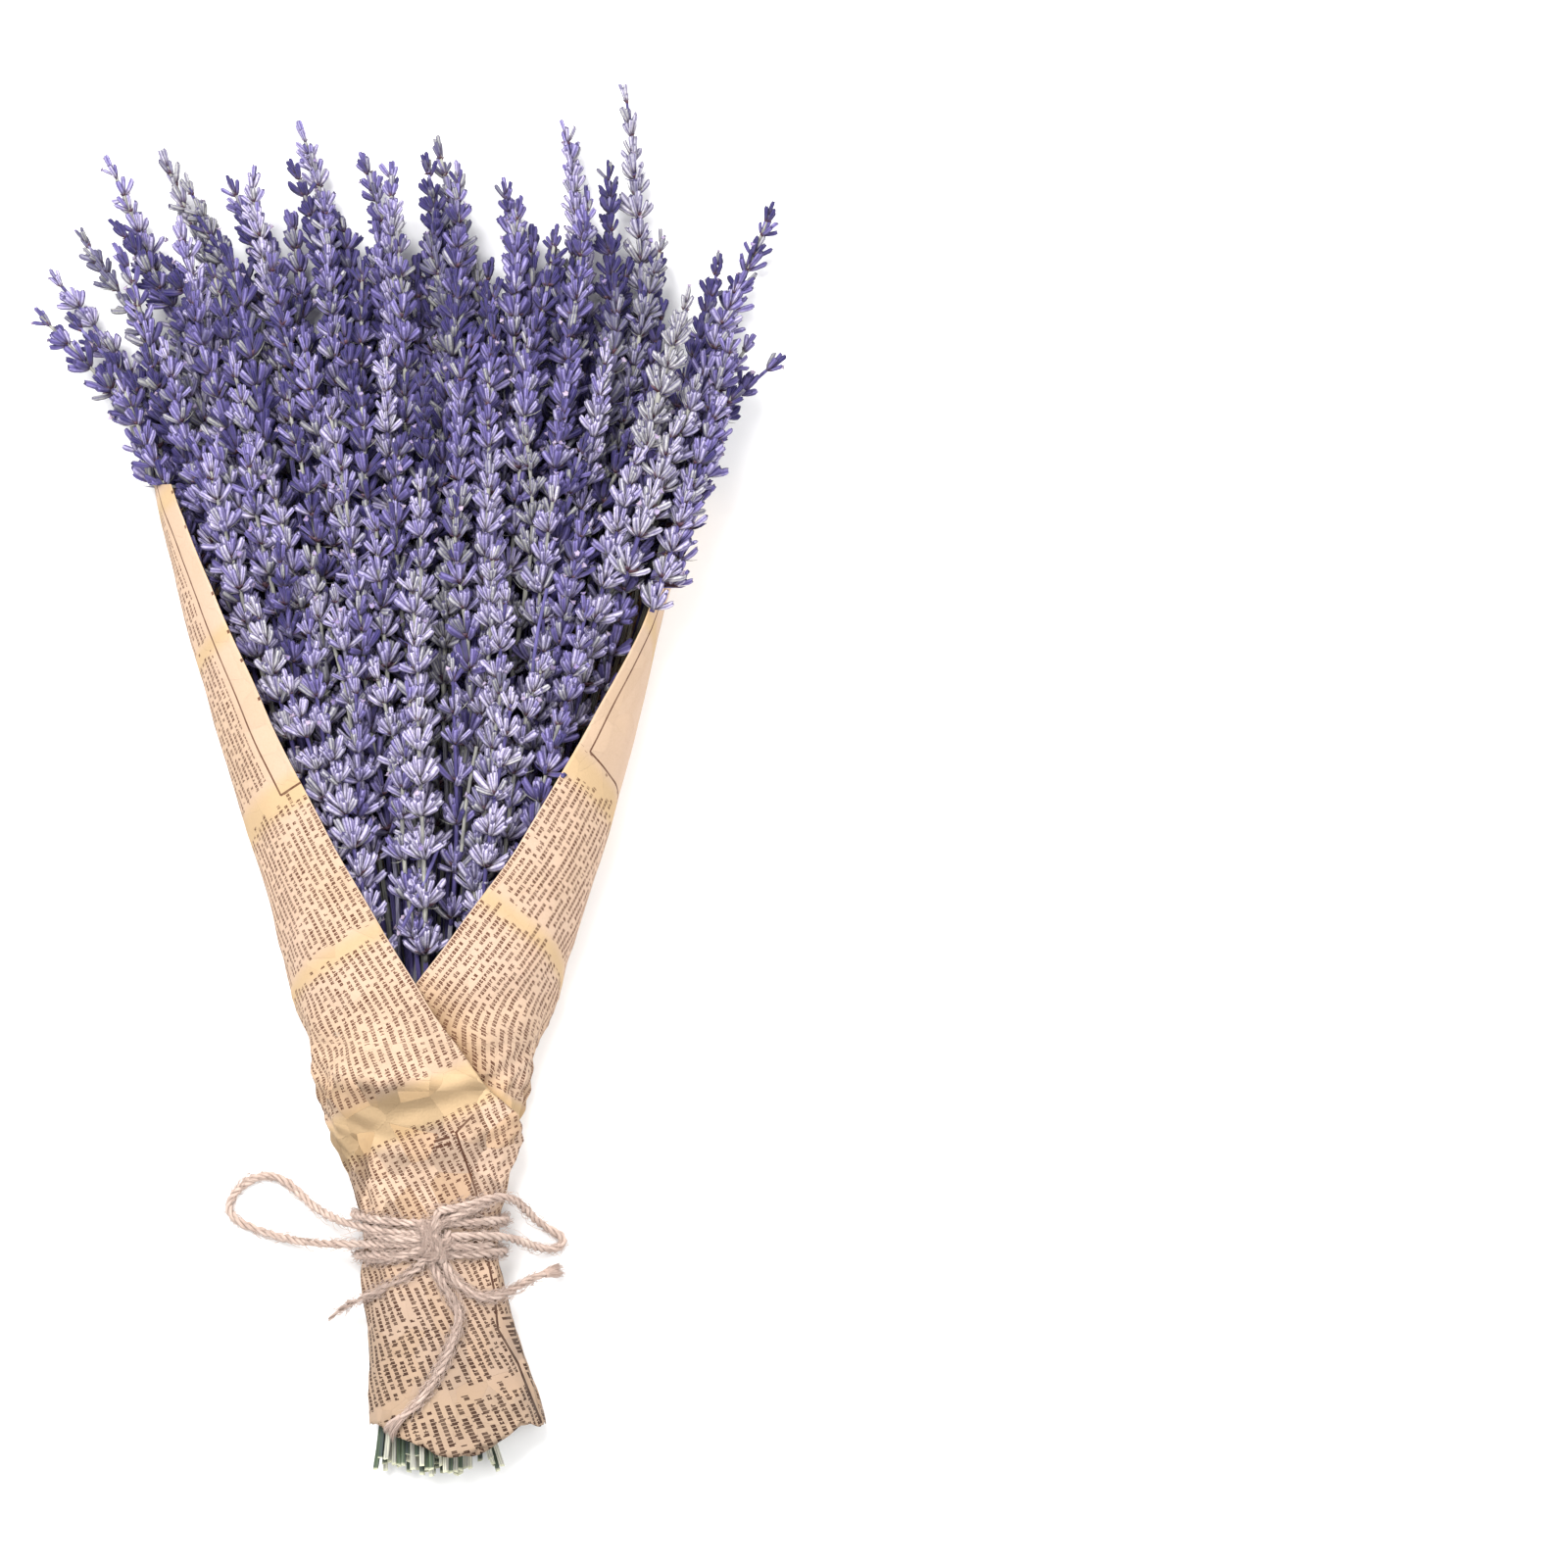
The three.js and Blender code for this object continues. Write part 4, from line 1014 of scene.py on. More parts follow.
def add_fibres(gathering, line, frames, size, kept, count, thick, radius, closed, rng):
    """Short fibres that stand off the twine, most of them along it."""
    along, side, up = frames
    for _ in range(count):
        i = int(rng.integers(2, max(3, kept - 7)))
        phi = rng.uniform(0, 2 * np.pi)
        out = np.cos(phi) * side[i] + np.sin(phi) * up[i]
        round_it = np.cross(along[i], out)
        reach = rng.uniform(1.5, 7.0)
        if not closed:
            reach = min(reach, 0.8 * TWINE_STEP * (kept - i))
        way = (along[i] * rng.choice([-1, 1]) * rng.uniform(0.6, 1)
               + round_it * rng.uniform(-0.5, 0.5))
        t = np.linspace(0, 1, 5)[:, None]
        lift = rng.uniform(0.15, 0.62) ** 1.2 * min(reach, 2.6)
        hair = (line[i] + out * (radius * size[i] - 0.15) + way * reach * t
                + out * lift * np.sin(t * rng.uniform(1.4, 2.9))
                + round_it * rng.uniform(-0.6, 0.6) * t ** 2)
        add_hair(gathering, held_near(hair, line, FIBRE_REACH), thick, [1, 1, 0.9, 0.8, 0.4], rng)


def add_brush(gathering, line, frames, kept, frayed, thick, radius, rng):
    """The untwisted end of a tail: fibres that go on and spread a little."""
    along, side, up = frames
    last, i = len(line) - 1, kept - 3
    for _ in range(BRUSH_FIBRES):
        phi, r0 = rng.uniform(0, 2 * np.pi), radius * rng.random() ** 0.5 * 0.9
        out = np.cos(phi) * side[i] + np.sin(phi) * up[i]
        reach = frayed * rng.uniform(0.6, 0.95)
        t = np.linspace(0, 1, 6)[:, None]
        flare = rng.uniform(0.1, 1.5)
        path = line[np.minimum(last, i + (t[:, 0] * reach / TWINE_STEP).astype(int))]
        hair = path + out * (r0 + flare * t ** 1.4 * 1.1)
        hair = hair + np.cross(along[i], out) * rng.uniform(-0.7, 0.7) * t ** 2
        hair = hair + along[-1] * np.clip(t * reach - (last - i) * TWINE_STEP, 0, None)
        hair = held_near(hair, line, BRUSH_REACH)
        add_hair(gathering, hair, thick * 1.6, [1.2, 1, 1, 0.9, 0.8, 0.4], rng)


def twist_of(gone, total, lay, closed, frames):
    """How far the plies have turned at each point of the twine."""
    if not closed:
        return 2 * np.pi * (gone + 1.1 * np.sin(gone / 5.3)) / lay
    along, side, up = frames               # on a ring the turns end where they began
    carried = unit(side[-1] - along[0] * np.dot(side[-1], along[0]))
    miss = math.atan2(np.dot(carried, up[0]), np.dot(carried, side[0]))
    return 2 * np.pi * round(total / lay) / total * gone - miss * gone / total


def add_twine(gathering, line, rng, settings, plies=3, closed=False, frayed=0.0, fuzz=2.0, thin=(1, 1),
              slack=1.0):
    """Twisted twine along a line, with loose fibres; its last `frayed` millimetres are a brush."""
    diameter, lay = settings.diameter / MM, settings.lay / MM * slack
    if closed:
        line = spaced(np.vstack([line, line[:1]]), TWINE_STEP)[:-1]
    else:
        line = spaced(line, TWINE_STEP)
    frames = carried_frames(line, closed)
    side, up = frames[1:]
    n, sides = len(line), 7
    gone, total = np.arange(n) * TWINE_STEP, n * TWINE_STEP
    round_once = gone * 2 * np.pi
    size = np.interp(gone / total, [0, 1], thin) * (
        0.95 + 0.07 * np.sin(round_once * round(total / 17) / total + 1)
        + 0.05 * np.sin(round_once * round(total / 6.3) / total))
    twist = twist_of(gone, total, lay, closed, frames)
    kept = max(4, int(n - frayed / TWINE_STEP)) if frayed else n
    ply = diameter * (0.255 if plies == 3 else 0.26)
    taper = np.ones(kept)
    if not closed:
        taper[-3:] = (0.85, 0.65, 0.35) if frayed else (1, 0.95, 0.7)
    for p in range(plies):
        angle = twist + 2 * np.pi * p / plies
        wave = 1 + 0.07 * np.sin(gone * 1.7 + p * 2 + rng.uniform(0, 6))
        r = ((diameter / 2 - ply) * size * wave)[:, None]
        centre = line + side * np.cos(angle)[:, None] * r + up * np.sin(angle)[:, None] * r
        swell = ply * size * (1 + 0.09 * np.sin(gone * 2.9 + p + rng.uniform(0, 6)))
        outline = round_outline(sides)[None] * swell[:kept, None, None] * taper[:, None, None]
        placed = tube_points(centre[:kept], side[:kept], up[:kept], outline)
        # how deep a point lies between the plies, which sets its painted shade
        off = np.linalg.norm(placed - np.repeat(line[:kept], sides, axis=0), axis=1)
        deep = 1 - (off / (diameter / 2 * np.repeat(size[:kept], sides)) - 0.35) / 0.5
        tint = tint_rows(rng.random(), np.repeat(gone[:kept], sides) / 40, np.clip(deep, 0, 1))
        gathering.add(tube(kept, sides, closed), placed, tint)
    thick = settings.fibre / MM / 2
    add_fibres(gathering, line, frames, size, kept, int(total * fuzz), thick, diameter / 2, closed, rng)
    if frayed:
        add_brush(gathering, line, frames, kept, frayed, thick, diameter / 2, rng)
    return line


# ------------------------------------------------------------------ finishes


class Finish:
    """Builds the nodes of one material."""

    def __init__(self, name, roughness, **constants):
        self.material = bpy.data.materials.new(name)
        self.material.use_nodes = True
        self.nodes, self.links = self.material.node_tree.nodes, self.material.node_tree.links
        self.shader = next(n for n in self.nodes if n.type == "BSDF_PRINCIPLED")
        self.shader.inputs["Roughness"].default_value = roughness
        for socket, value in constants.items():
            self.shader.inputs[socket.replace("_", " ").title().replace("Ior", "IOR")].default_value = value

    def node(self, kind, *inputs, **settings):
        node = self.nodes.new("ShaderNode" + kind)
        for key, value in settings.items():
            setattr(node, key, value)
        for i, value in enumerate(inputs):
            self.set(node.inputs[i], value)
        return node

    def set(self, socket, value):
        if isinstance(value, bpy.types.NodeSocket):
            self.links.new(value, socket)
        elif value is not None:
            socket.default_value = value

    def math(self, operation, a, b=None, c=None):
        return self.node("Math", a, b, c, operation=operation).outputs[0]

    def chain(self, operation, values):
        return reduce(lambda a, b: self.math(operation, a, b), values)

    def times(self, *values):
        return self.chain("MULTIPLY", values)

    def plus(self, *values):
        return self.chain("ADD", values)

    def most(self, *values):
        return self.chain("MAXIMUM", values)

    def minus(self, a, b):
        return self.math("SUBTRACT", a, b)

    def scaled(self, value, factor, shift):
        return self.math("MULTIPLY_ADD", value, factor, shift)

    def over(self, value, limit):
        return self.math("GREATER_THAN", value, limit)

    def near(self, value, middle, half):
        """1 where the value is within half of the middle, else 0."""
        return self.math("COMPARE", value, middle, half)

    def mix(self, factor, a, b):
        node = self.node("Mix", data_type="RGBA")
        self.set(node.inputs[0], factor)
        for socket, value in ((node.inputs[6], a), (node.inputs[7], b)):
            self.set(socket, value if isinstance(value, bpy.types.NodeSocket) else (*value, 1))
        return node.outputs[2]

    def ramp(self, value, stops, interpolation="LINEAR"):
        node = self.node("ValToRGB", value)
        node.color_ramp.interpolation = interpolation
        elements = node.color_ramp.elements
        while len(elements) > 1:
            elements.remove(elements[-1])
        for i, (at, level) in enumerate(stops):
            element = elements[0] if i == 0 else elements.new(at)
            element.position = at
            element.color = (level, level, level, 1) if np.isscalar(level) else (*level, 1)
        return node.outputs[0]

    def place(self):
        return self.node("TexCoord").outputs["Object"]

    def noise(self, vector, scale, detail=3.0, roughness=0.5):
        node = self.node("TexNoise", vector)
        node.inputs["Scale"].default_value = scale
        node.inputs["Detail"].default_value = detail
        node.inputs["Roughness"].default_value = roughness
        return node.outputs[0]

    def tint(self):
        """The three numbers that the pieces carry: lot, along, and dryness or depth."""
        attribute = self.node("Attribute", attribute_name="tint")
        split = self.node("SeparateColor", attribute.outputs["Color"])
        return split.outputs[0], split.outputs[1], split.outputs[2]

    def skin(self):
        split = self.node("SeparateXYZ", self.node("UVMap", uv_map="skin").outputs[0])
        return split.outputs[0], split.outputs[1]

    def bump(self, height, strength, distance):
        node = self.node("Bump")
        node.inputs["Strength"].default_value = strength
        node.inputs["Distance"].default_value = distance
        self.set(node.inputs["Height"], height)
        self.set(self.shader.inputs["Normal"], node.outputs[0])

    def finish(self, base):
        self.set(self.shader.inputs["Base Color"], base)
        return self.material


def darker(rgb, factor):
    return tuple(x * factor for x in rgb)


def calyx_finish(flowers):
    """Calyxes from pale grey-lavender to deep violet, ribbed with painted shade and highlight, cream above a
    dark foot that is partly its own colour and partly painted shade.
    """
    f = Finish("calyx_skin", 0.7, sheen_weight=0.07, sheen_roughness=0.45, specular_ior_level=0.15)
    lot, along, dry = f.tint()
    place, u = f.place(), f.skin()[0]
    height = f.node("SeparateXYZ", place).outputs[1]
    cloud = f.times(f.minus(f.noise(place, 60, 2), 0.5), 0.5)
    high = f.math("MINIMUM", f.most(f.scaled(height, 4.0, -0.34), 0.0), 0.04)
    tone = f.plus(lot, cloud, f.scaled(height, 1.2, -0.07), high)
    pale, violet, shade = tuple(flowers.pale), tuple(flowers.violet), darker(flowers.violet, 0.35)
    between = tuple((a + b) / 2 for a, b in zip(pale, violet))
    # the highest tones, given to the spikes deep in the bunch, run to the deep colour: painted shade
    body = f.ramp(tone, [(0.15, pale), (0.45, between), (0.68, violet), (0.95, tuple(flowers.deep))])
    body = f.mix(f.ramp(dry, [(0.35, 0.0), (0.8, 0.85)]), body, flowers.dry)
    cream = f.ramp(along, [(0.1, 0.7), (0.3, 0.45), (0.6, 0.0)])
    cream = f.times(cream, f.ramp(tone, [(0.3, 1.0), (0.7, 0.15)]))
    body = f.mix(cream, body, flowers.foot)
    # dark at the foot in the bracts' colour: partly the base's own colour, partly painted shade where the
    # calyxes crowd at the whorl
    body = f.mix(f.ramp(along, [(0.0, 0.95), (0.2, 0.7), (0.38, 0.0)]), body, flowers.bract)
    # The ribs: grooves darkened, partly the veins' own colour and partly painted shade; crests lightened,
    # partly by the pale hairs and partly as a painted highlight.
    rib = f.scaled(f.math("SINE", f.times(u, 2 * math.pi * 4)), 0.5, 0.5)
    body = f.mix(f.ramp(rib, [(0.0, 0.75), (0.4, 0.0)]), body, shade)
    woolly_highlight = f.ramp(rib, [(0.6, 0.0), (0.95, 0.4)])
    woolly_highlight = f.times(woolly_highlight, f.ramp(tone, [(0.3, 1.0), (0.8, 0.15)]))
    body = f.mix(woolly_highlight, body, (0.8, 0.78, 0.84))
    body = f.mix(f.ramp(f.noise(place, 1100, 3, 0.7), [(0.4, 0.4), (0.58, 0.0)]), body, shade)
    body = f.mix(f.ramp(along, [(0.98, 0.0), (1.0, 0.85)]), body, darker(violet, 0.3))
    f.bump(f.plus(rib, f.noise(place, 1600, 2)), 0.7, 0.00015)
    return f.finish(body)


def bract_finish(flowers):
    """Papery bracts, dark red brown with paler tips and fine veins."""
    f = Finish("bract_skin", 0.7, specular_ior_level=0.2)
    lot, along, _ = f.tint()
    body = f.mix(f.ramp(lot, [(0.1, 0.0), (0.9, 1.0)]), flowers.bract, (0.1, 0.04, 0.05))
    body = f.mix(f.ramp(along, [(0.0, 0.0), (0.5, 0.05), (1.0, 0.3)]), body, (0.3, 0.24, 0.3))
    veins = f.noise(f.place(), 1200, 2)
    body = f.mix(f.ramp(veins, [(0.35, 0.35), (0.6, 0.0)]), body, darker(flowers.bract, 0.5))
    f.bump(veins, 0.5, 0.0001)
    return f.finish(body)


def bloom_finish(flowers):
    """Withered flowers, violet to pinkish grey, with brown spots."""
    f = Finish("withered_flower_skin", 0.8, sheen_weight=0.2)
    body = f.mix(f.tint()[0], darker(flowers.violet, 0.9), (0.5, 0.42, 0.55))
    spots = f.ramp(f.noise(f.place(), 1500, 3), [(0.4, 0.0), (0.65, 0.7)])
    return f.finish(f.mix(spots, body, (0.3, 0.2, 0.24)))


def stem_finish(stems):
    """Stems: green at the cut ends, straw and lilac among the flowers with painted shade there, ridged along
    with painted shade in the grooves.
    """
    f = Finish("stem_skin", 0.62, specular_ior_level=0.2)
    lot, along, dry = f.tint()
    place, u = f.place(), f.skin()[0]
    # among the flowers the stems turn dark lilac and the straw ones darker: partly their own tint, partly
    # painted shade
    body = f.mix(f.ramp(along, [(0.0, 0.0), (0.3, 0.15), (0.58, 1.0)]), stems.green, stems.lilac)
    bleached = f.mix(f.ramp(along, [(0.3, 0.0), (0.55, 1.0)]), stems.straw, darker(stems.straw, 0.56))
    body = f.mix(f.ramp(f.scaled(along, 0.08, dry), [(0.56, 0.0), (0.62, 0.9)]), body, bleached)
    some = f.times(f.ramp(lot, [(0.86, 0.0), (0.9, 0.7)]), f.ramp(along, [(0.3, 0.0), (0.4, 1.0)]))
    body = f.mix(some, body, (0.2, 0.17, 0.44))
    ridge = f.math("SINE", f.times(u, 2 * math.pi * 8))
    # painted shade in the grooves between the ridges
    groove_shade = f.ramp(f.scaled(ridge, 0.5, 0.5), [(0.0, 0.5), (0.6, 0.0)])
    body = f.mix(groove_shade, body, (0.02, 0.015, 0.07))
    stretched = f.node("Mapping", place)
    stretched.inputs["Scale"].default_value = (900, 60, 900)
    streak = f.noise(stretched.outputs[0], 1.0, 3)
    # streaks: partly the stem's own streaky colour, partly painted shade in the dark ones and painted
    # highlight in the pale ones
    body = f.mix(f.ramp(streak, [(0.38, 0.45), (0.62, 0.0)]), body, (0.03, 0.028, 0.065))
    body = f.mix(f.ramp(streak, [(0.6, 0.0), (0.75, 0.35)]), body, (0.42, 0.45, 0.38))
    body = f.mix(f.ramp(along, [(0.0, 1.0), (0.004, 0.0)]), body, (0.62, 0.62, 0.45))
    f.bump(f.plus(ridge, streak), 0.4, 0.0001)
    return f.finish(body)


def twine_finish(twine):
    """Jute: streaks along each ply, painted shade between the plies, pale loose fibres."""
    f = Finish("jute_fibre", 0.85, sheen_weight=0.15, specular_ior_level=0.2)
    lot, _, deep = f.tint()
    loose = f.math("LESS_THAN", deep, -0.5)
    u, v = f.skin()
    strand = f.node("CombineXYZ", f.times(u, 16.0), f.times(v, 0.16), f.times(lot, 9.0))
    streak = f.noise(strand.outputs[0], 1.0, 4, 0.6)
    body = f.ramp(streak, [(0.3, 0.0), (0.7, 1.0)])
    body = f.mix(body, darker(twine.jute, 0.72), darker(twine.jute, 1.22))
    # painted shade between the plies
    body = f.mix(f.ramp(deep, [(0.1, 0.0), (0.8, 0.7)]), body, twine.shade)
    body = f.mix(f.ramp(f.noise(f.place(), 160, 2), [(0.4, 0.0), (0.7, 0.3)]), body, (0.72, 0.6, 0.52))
    body = f.mix(loose, body, darker(twine.jute, 1.25))
    f.bump(streak, 0.8, 0.0002)
    return f.finish(body)


def print_marks(f, u, v, pitch, advance, seed, shown, bold=0.165):
    """Rows of generic, unreadable marks: rows across u, marks along v."""
    rows = f.math("DIVIDE", u, pitch)
    row, high = f.math("FLOOR", rows), f.math("FRACT", rows)
    marks = f.math("DIVIDE", f.plus(v, f.times(row, 0.37 * advance)), advance)
    mark, wide = f.math("FLOOR", marks), f.math("FRACT", marks)
    draws = []
    for n in range(2):
        at = f.node("CombineXYZ", mark, row, seed + 7.3 * n)
        noise = f.node("TexWhiteNoise", at.outputs[0], noise_dimensions="3D")
        split = f.node("SeparateColor", noise.outputs["Color"])
        draws += [noise.outputs["Value"], *split.outputs[:3]]
    small = f.near(high, 0.42, 0.25)
    tall = f.times(f.near(high, 0.52, 0.32), f.over(draws[1], 0.7))
    deep = f.times(f.near(high, 0.28, 0.26), f.over(draws[2], 0.82))
    body = f.near(wide, 0.45, 0.32)
    strokes = [f.times(f.near(wide, 0.24, bold), f.most(small, tall)),
               f.times(f.near(wide, 0.66, bold), f.most(small, deep), f.over(draws[3], 0.28))]
    bars = [(0.57, 0.095, draws[5], 0.35), (0.27, 0.095, draws[6], 0.4), (0.42, 0.05, draws[7], 0.6)]
    for middle, half, lot, limit in bars:
        strokes.append(f.times(body, f.near(high, middle, half), f.over(lot, limit)))
    return f.times(f.most(*strokes), f.over(draws[4], 0.14), shown)


def stroke(f, x, y, a, b, half):
    """A straight stroke from a to b, drawn on the front of the paper."""
    run = (b[0] - a[0], b[1] - a[1])
    size = math.hypot(*run)
    dx, dy = f.minus(x, float(a[0])), f.minus(y, float(a[1]))
    along = f.plus(f.times(dx, run[0] / size), f.times(dy, run[1] / size))
    across = f.minus(f.times(dx, run[1] / size), f.times(dy, run[0] / size))
    return f.times(f.near(along, size / 2, size / 2 + half), f.near(across, 0.0, half))


def print_areas(f, u, v, line_pitch):
    """Where the columns of print are: with sharp ragged ends, and with soft ones."""
    def at(place):
        return (place - PRINT_LOW) / PRINT_SPAN

    reach = f.math("DIVIDE", f.minus(v, PRINT_LOW), PRINT_SPAN)
    rows = f.math("FLOOR", f.math("DIVIDE", u, line_pitch))
    lot = f.node("CombineXYZ", rows, f.math("FLOOR", f.math("DIVIDE", v, 50.0))).outputs[0]
    ragged = f.math("POWER", f.node("TexWhiteNoise", lot).outputs["Value"], 4.0)
    sharp, soft = [(0.0, 0.0)], [(0.0, 0.0)]
    for start, end in PRINT_COLUMNS:
        sharp += [(at(start), 1.0), (at(end), 0.0)]
        soft += [(at(start - 1.5), 0.0), (at(start + 2), 1.0), (at(end - 2), 1.0), (at(end + 1.5), 0.0)]
    column = f.ramp(f.minus(reach, f.times(ragged, 5.0 / PRINT_SPAN)), sharp, "CONSTANT")
    return column, f.ramp(reach, sorted(soft)[:32])


def creased_facets(f, place, y):
    """Flat facets between creases: the painted shade of each, and how it is tilted."""
    cloud = f.node("TexNoise", place).outputs["Color"]
    bent = f.node("VectorMath", cloud, (0.014, 0.014, 0.014), place, operation="MULTIPLY_ADD").outputs[0]
    cells = f.node("TexVoronoi", bent)
    cells.inputs["Scale"].default_value = 95
    facet = f.node("SeparateColor", cells.outputs["Color"]).outputs[0]
    inward = f.node("VectorMath", bent, cells.outputs["Position"], operation="SUBTRACT").outputs[0]
    slope = f.node("VectorMath", cells.outputs["Color"], (0.5, 0.5, 0.5), operation="SUBTRACT").outputs[0]
    tilted = f.node("VectorMath", inward, slope, operation="DOT_PRODUCT").outputs["Value"]
    creased = f.ramp(f.scaled(y, 0.01, 0.5), [
        (0.05, 0.35), (0.4, 0.35), (0.58, 0.8), (0.95, 0.9), (1.0, 0.12)])
    # painted shade: each facet is darkened by its own amount, as if turned from the light
    dark = f.times(f.ramp(facet, [(0.35, 0.0), (0.9, 0.46)]), creased)
    return dark, f.times(tilted, creased, 1.35)


def paper_finish(paper):
    """Yellowed paper with generic newsprint: columns of unreadable marks, rules and bare bands."""
    f = Finish("printed_paper", 0.78, specular_ior_level=0.2, subsurface_scale=0.0005)
    u, v = f.skin()                        # millimetres across the lines and along them
    place = f.place()
    inside, beside, _ = f.tint()
    # light comes through the thin sheet to its inner side
    f.set(f.shader.inputs["Subsurface Weight"], f.times(inside, 0.85))
    f.shader.inputs["Subsurface Radius"].default_value = (1.0, 0.85, 0.65)
    column, area = print_areas(f, u, v, paper.line_pitch / MM)
    # u is 400 more on the right flap; the framed strip along both free edges stays bare
    edge = f.math("MINIMUM", u, f.plus(f.times(f.math("LESS_THAN", u, 200.0), 400.0), f.minus(u, 400.0)))
    right = f.over(u, 200.0)
    top = f.scaled(right, 5.8, 153.2)      # where the frames begin
    high_up = f.over(v, top)
    framed = f.times(high_up, f.most(right, f.math("LESS_THAN", edge, 11.0)))
    split = f.node("SeparateXYZ", place)
    x, y, z = (f.math("DIVIDE", f.minus(split.outputs[i], float(TIE[i] * MM)), MM) for i in range(3))
    under = f.ramp(f.scaled(y, 0.01, 0.75), [(0.4, 1.0), (0.95, 0.0)])      # 1 well below the tie
    text = print_marks(f, u, v, paper.line_pitch / MM, 1.12, 2.0, f.times(column, f.minus(1.0, framed)),
                       f.scaled(under, 0.045, 0.155))
    beyond_corner = f.over(edge, f.scaled(right, -3.6, 8.4))
    rules = f.most(
        f.times(f.near(edge, f.scaled(right, -3.4, 8.3), RULE_HALF), high_up),
        f.times(f.near(v, top, RULE_HALF), f.near(right, beyond_corner, 0.5)))
    along_edge = f.times(f.math("LESS_THAN", edge, 1.5), high_up, f.minus(1.0, right))
    heads = print_marks(f, f.plus(edge, 3.6), v, 5.4, 3.3, 11.0, along_edge)
    front = f.over(z, 12.0)
    # right of the drawn rule below the tie the paper is bare but for large headings
    beyond = f.plus(f.scaled(y, 0.44, x), -11.6)
    aside = f.times(f.over(beyond, 0.0), f.math("LESS_THAN", y, -24.0), front)
    text = f.times(text, f.minus(1.0, aside))
    headings = print_marks(f, f.plus(beyond, -0.9), y, 5.2, 2.6, 5.0,
                           f.times(aside, f.math("LESS_THAN", beyond, 5.4)))
    ink = f.times(f.most(text, rules, heads, headings), f.scaled(inside, -0.8, 1.0))
    drawn = [stroke(f, x, y, a, b, RULE_HALF) for a, b in zip(FRONT_RULE[:-1], FRONT_RULE[1:])]
    drawn += [stroke(f, x, y, a, b, 0.42) for a, b in DROPPED_MARK]
    ink = f.most(ink, f.times(f.most(*drawn), front))
    worn = f.ramp(f.noise(place, 240, 3), [(0.3, 0.8), (0.6, 1.0)])
    body = f.mix(area, paper.ground, paper.printed)
    body = f.mix(f.times(under, 0.95), body, darker(paper.printed, 0.62))
    dark, tilted = creased_facets(f, place, y)
    # painted shade on the creased facets near the tie
    body = f.mix(dark, body, (0.36, 0.2, 0.08))
    # painted shade beside the edge that lies on top, and a painted contact shadow along the line where it
    # touches
    body = f.mix(f.times(beside, 0.75), body, (0.42, 0.25, 0.11))
    contact_shadow = f.times(f.math("POWER", f.most(beside, 0.0), 3.0), 0.85)
    body = f.mix(contact_shadow, body, (0.14, 0.07, 0.035))
    cloud = f.noise(place, 22, 3)
    body = f.mix(f.ramp(cloud, [(0.35, 0.3), (0.65, 0.0)]), body, darker(paper.ground, 0.86))
    fibres = f.noise(place, 1400, 2)
    body = f.mix(f.ramp(fibres, [(0.35, 0.12), (0.6, 0.0)]), body, darker(paper.ground, 0.7))
    body = f.mix(f.times(ink, worn, 0.95), body, f.mix(under, paper.ink, darker(paper.ink, 0.35)))
    f.bump(f.plus(f.times(cloud, 4.0), fibres), 0.35, 0.00025)
    facets = f.node("Bump")
    facets.inputs["Distance"].default_value = 1.0
    f.set(facets.inputs["Height"], tilted)
    f.set(next(n for n in f.nodes if n.type == "BUMP").inputs["Normal"], facets.outputs[0])
    return f.finish(body)


def floor_finish(stage):
    """A pale, nearly even floor."""
    f = Finish("pale_floor", 0.9)
    cloud = f.ramp(f.noise(f.place(), 3.0, 2), [(0.3, 0.0), (0.7, 1.0)])
    return f.finish(f.mix(cloud, stage.floor, darker(stage.floor, 0.985)))


FINISHES = {}


def finish_of(name, make, settings):
    if name not in FINISHES:
        FINISHES[name] = make(settings)
    return FINISHES[name]


def flower_materials(scene):
    flowers, stems = scene.lavender_flowers, scene.lavender_stems
    return [finish_of("calyx", calyx_finish, flowers), finish_of("bract", bract_finish, flowers),
            finish_of("stem", stem_finish, stems), finish_of("bloom", bloom_finish, flowers)]


def placed_piece(gathering, name, materials, slot, replaced=None, **options):
    """Makes a piece that rides with the bunch and hides the node it replaces; slot is not used."""
    obj = gathering.piece(name, materials, **options)
    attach(obj, "root")
    if replaced:
        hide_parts(replaced)
    return obj


# ------------------------------------------------------------------ the pieces, one operator each


SENSOR, FLOWER_LEVEL, EYE = 36, 0.025, (0.1143, 0.0001)     # the view is measured at the flowers
FLOOR_REACH, ROOM_LIGHT = 4000, 0.66
LIGHTS = [("key_light", (-0.55, 0.85, 1.9), 1.0, 68.0), ("fill_light", (0.9, -0.2, 1.9), 1.6, 26.0)]
FRAYED = {"twine_tail_right": 8.0, "twine_tail_long": 9.0}  # millimetres of brush at the end
RIGHT_FLAP_U = 400                         # added to u on the right flap, to tell it from the left
RIM_PRINT = (-60.0, 41.0)                  # a place without print


class BunchOperator:
    bl_options = {"REGISTER", "UNDO"}

    def execute(self, context):
        bpy.ops.object.select_all(action="DESELECT")
        self.make(context.scene)
        return {"FINISHED"}


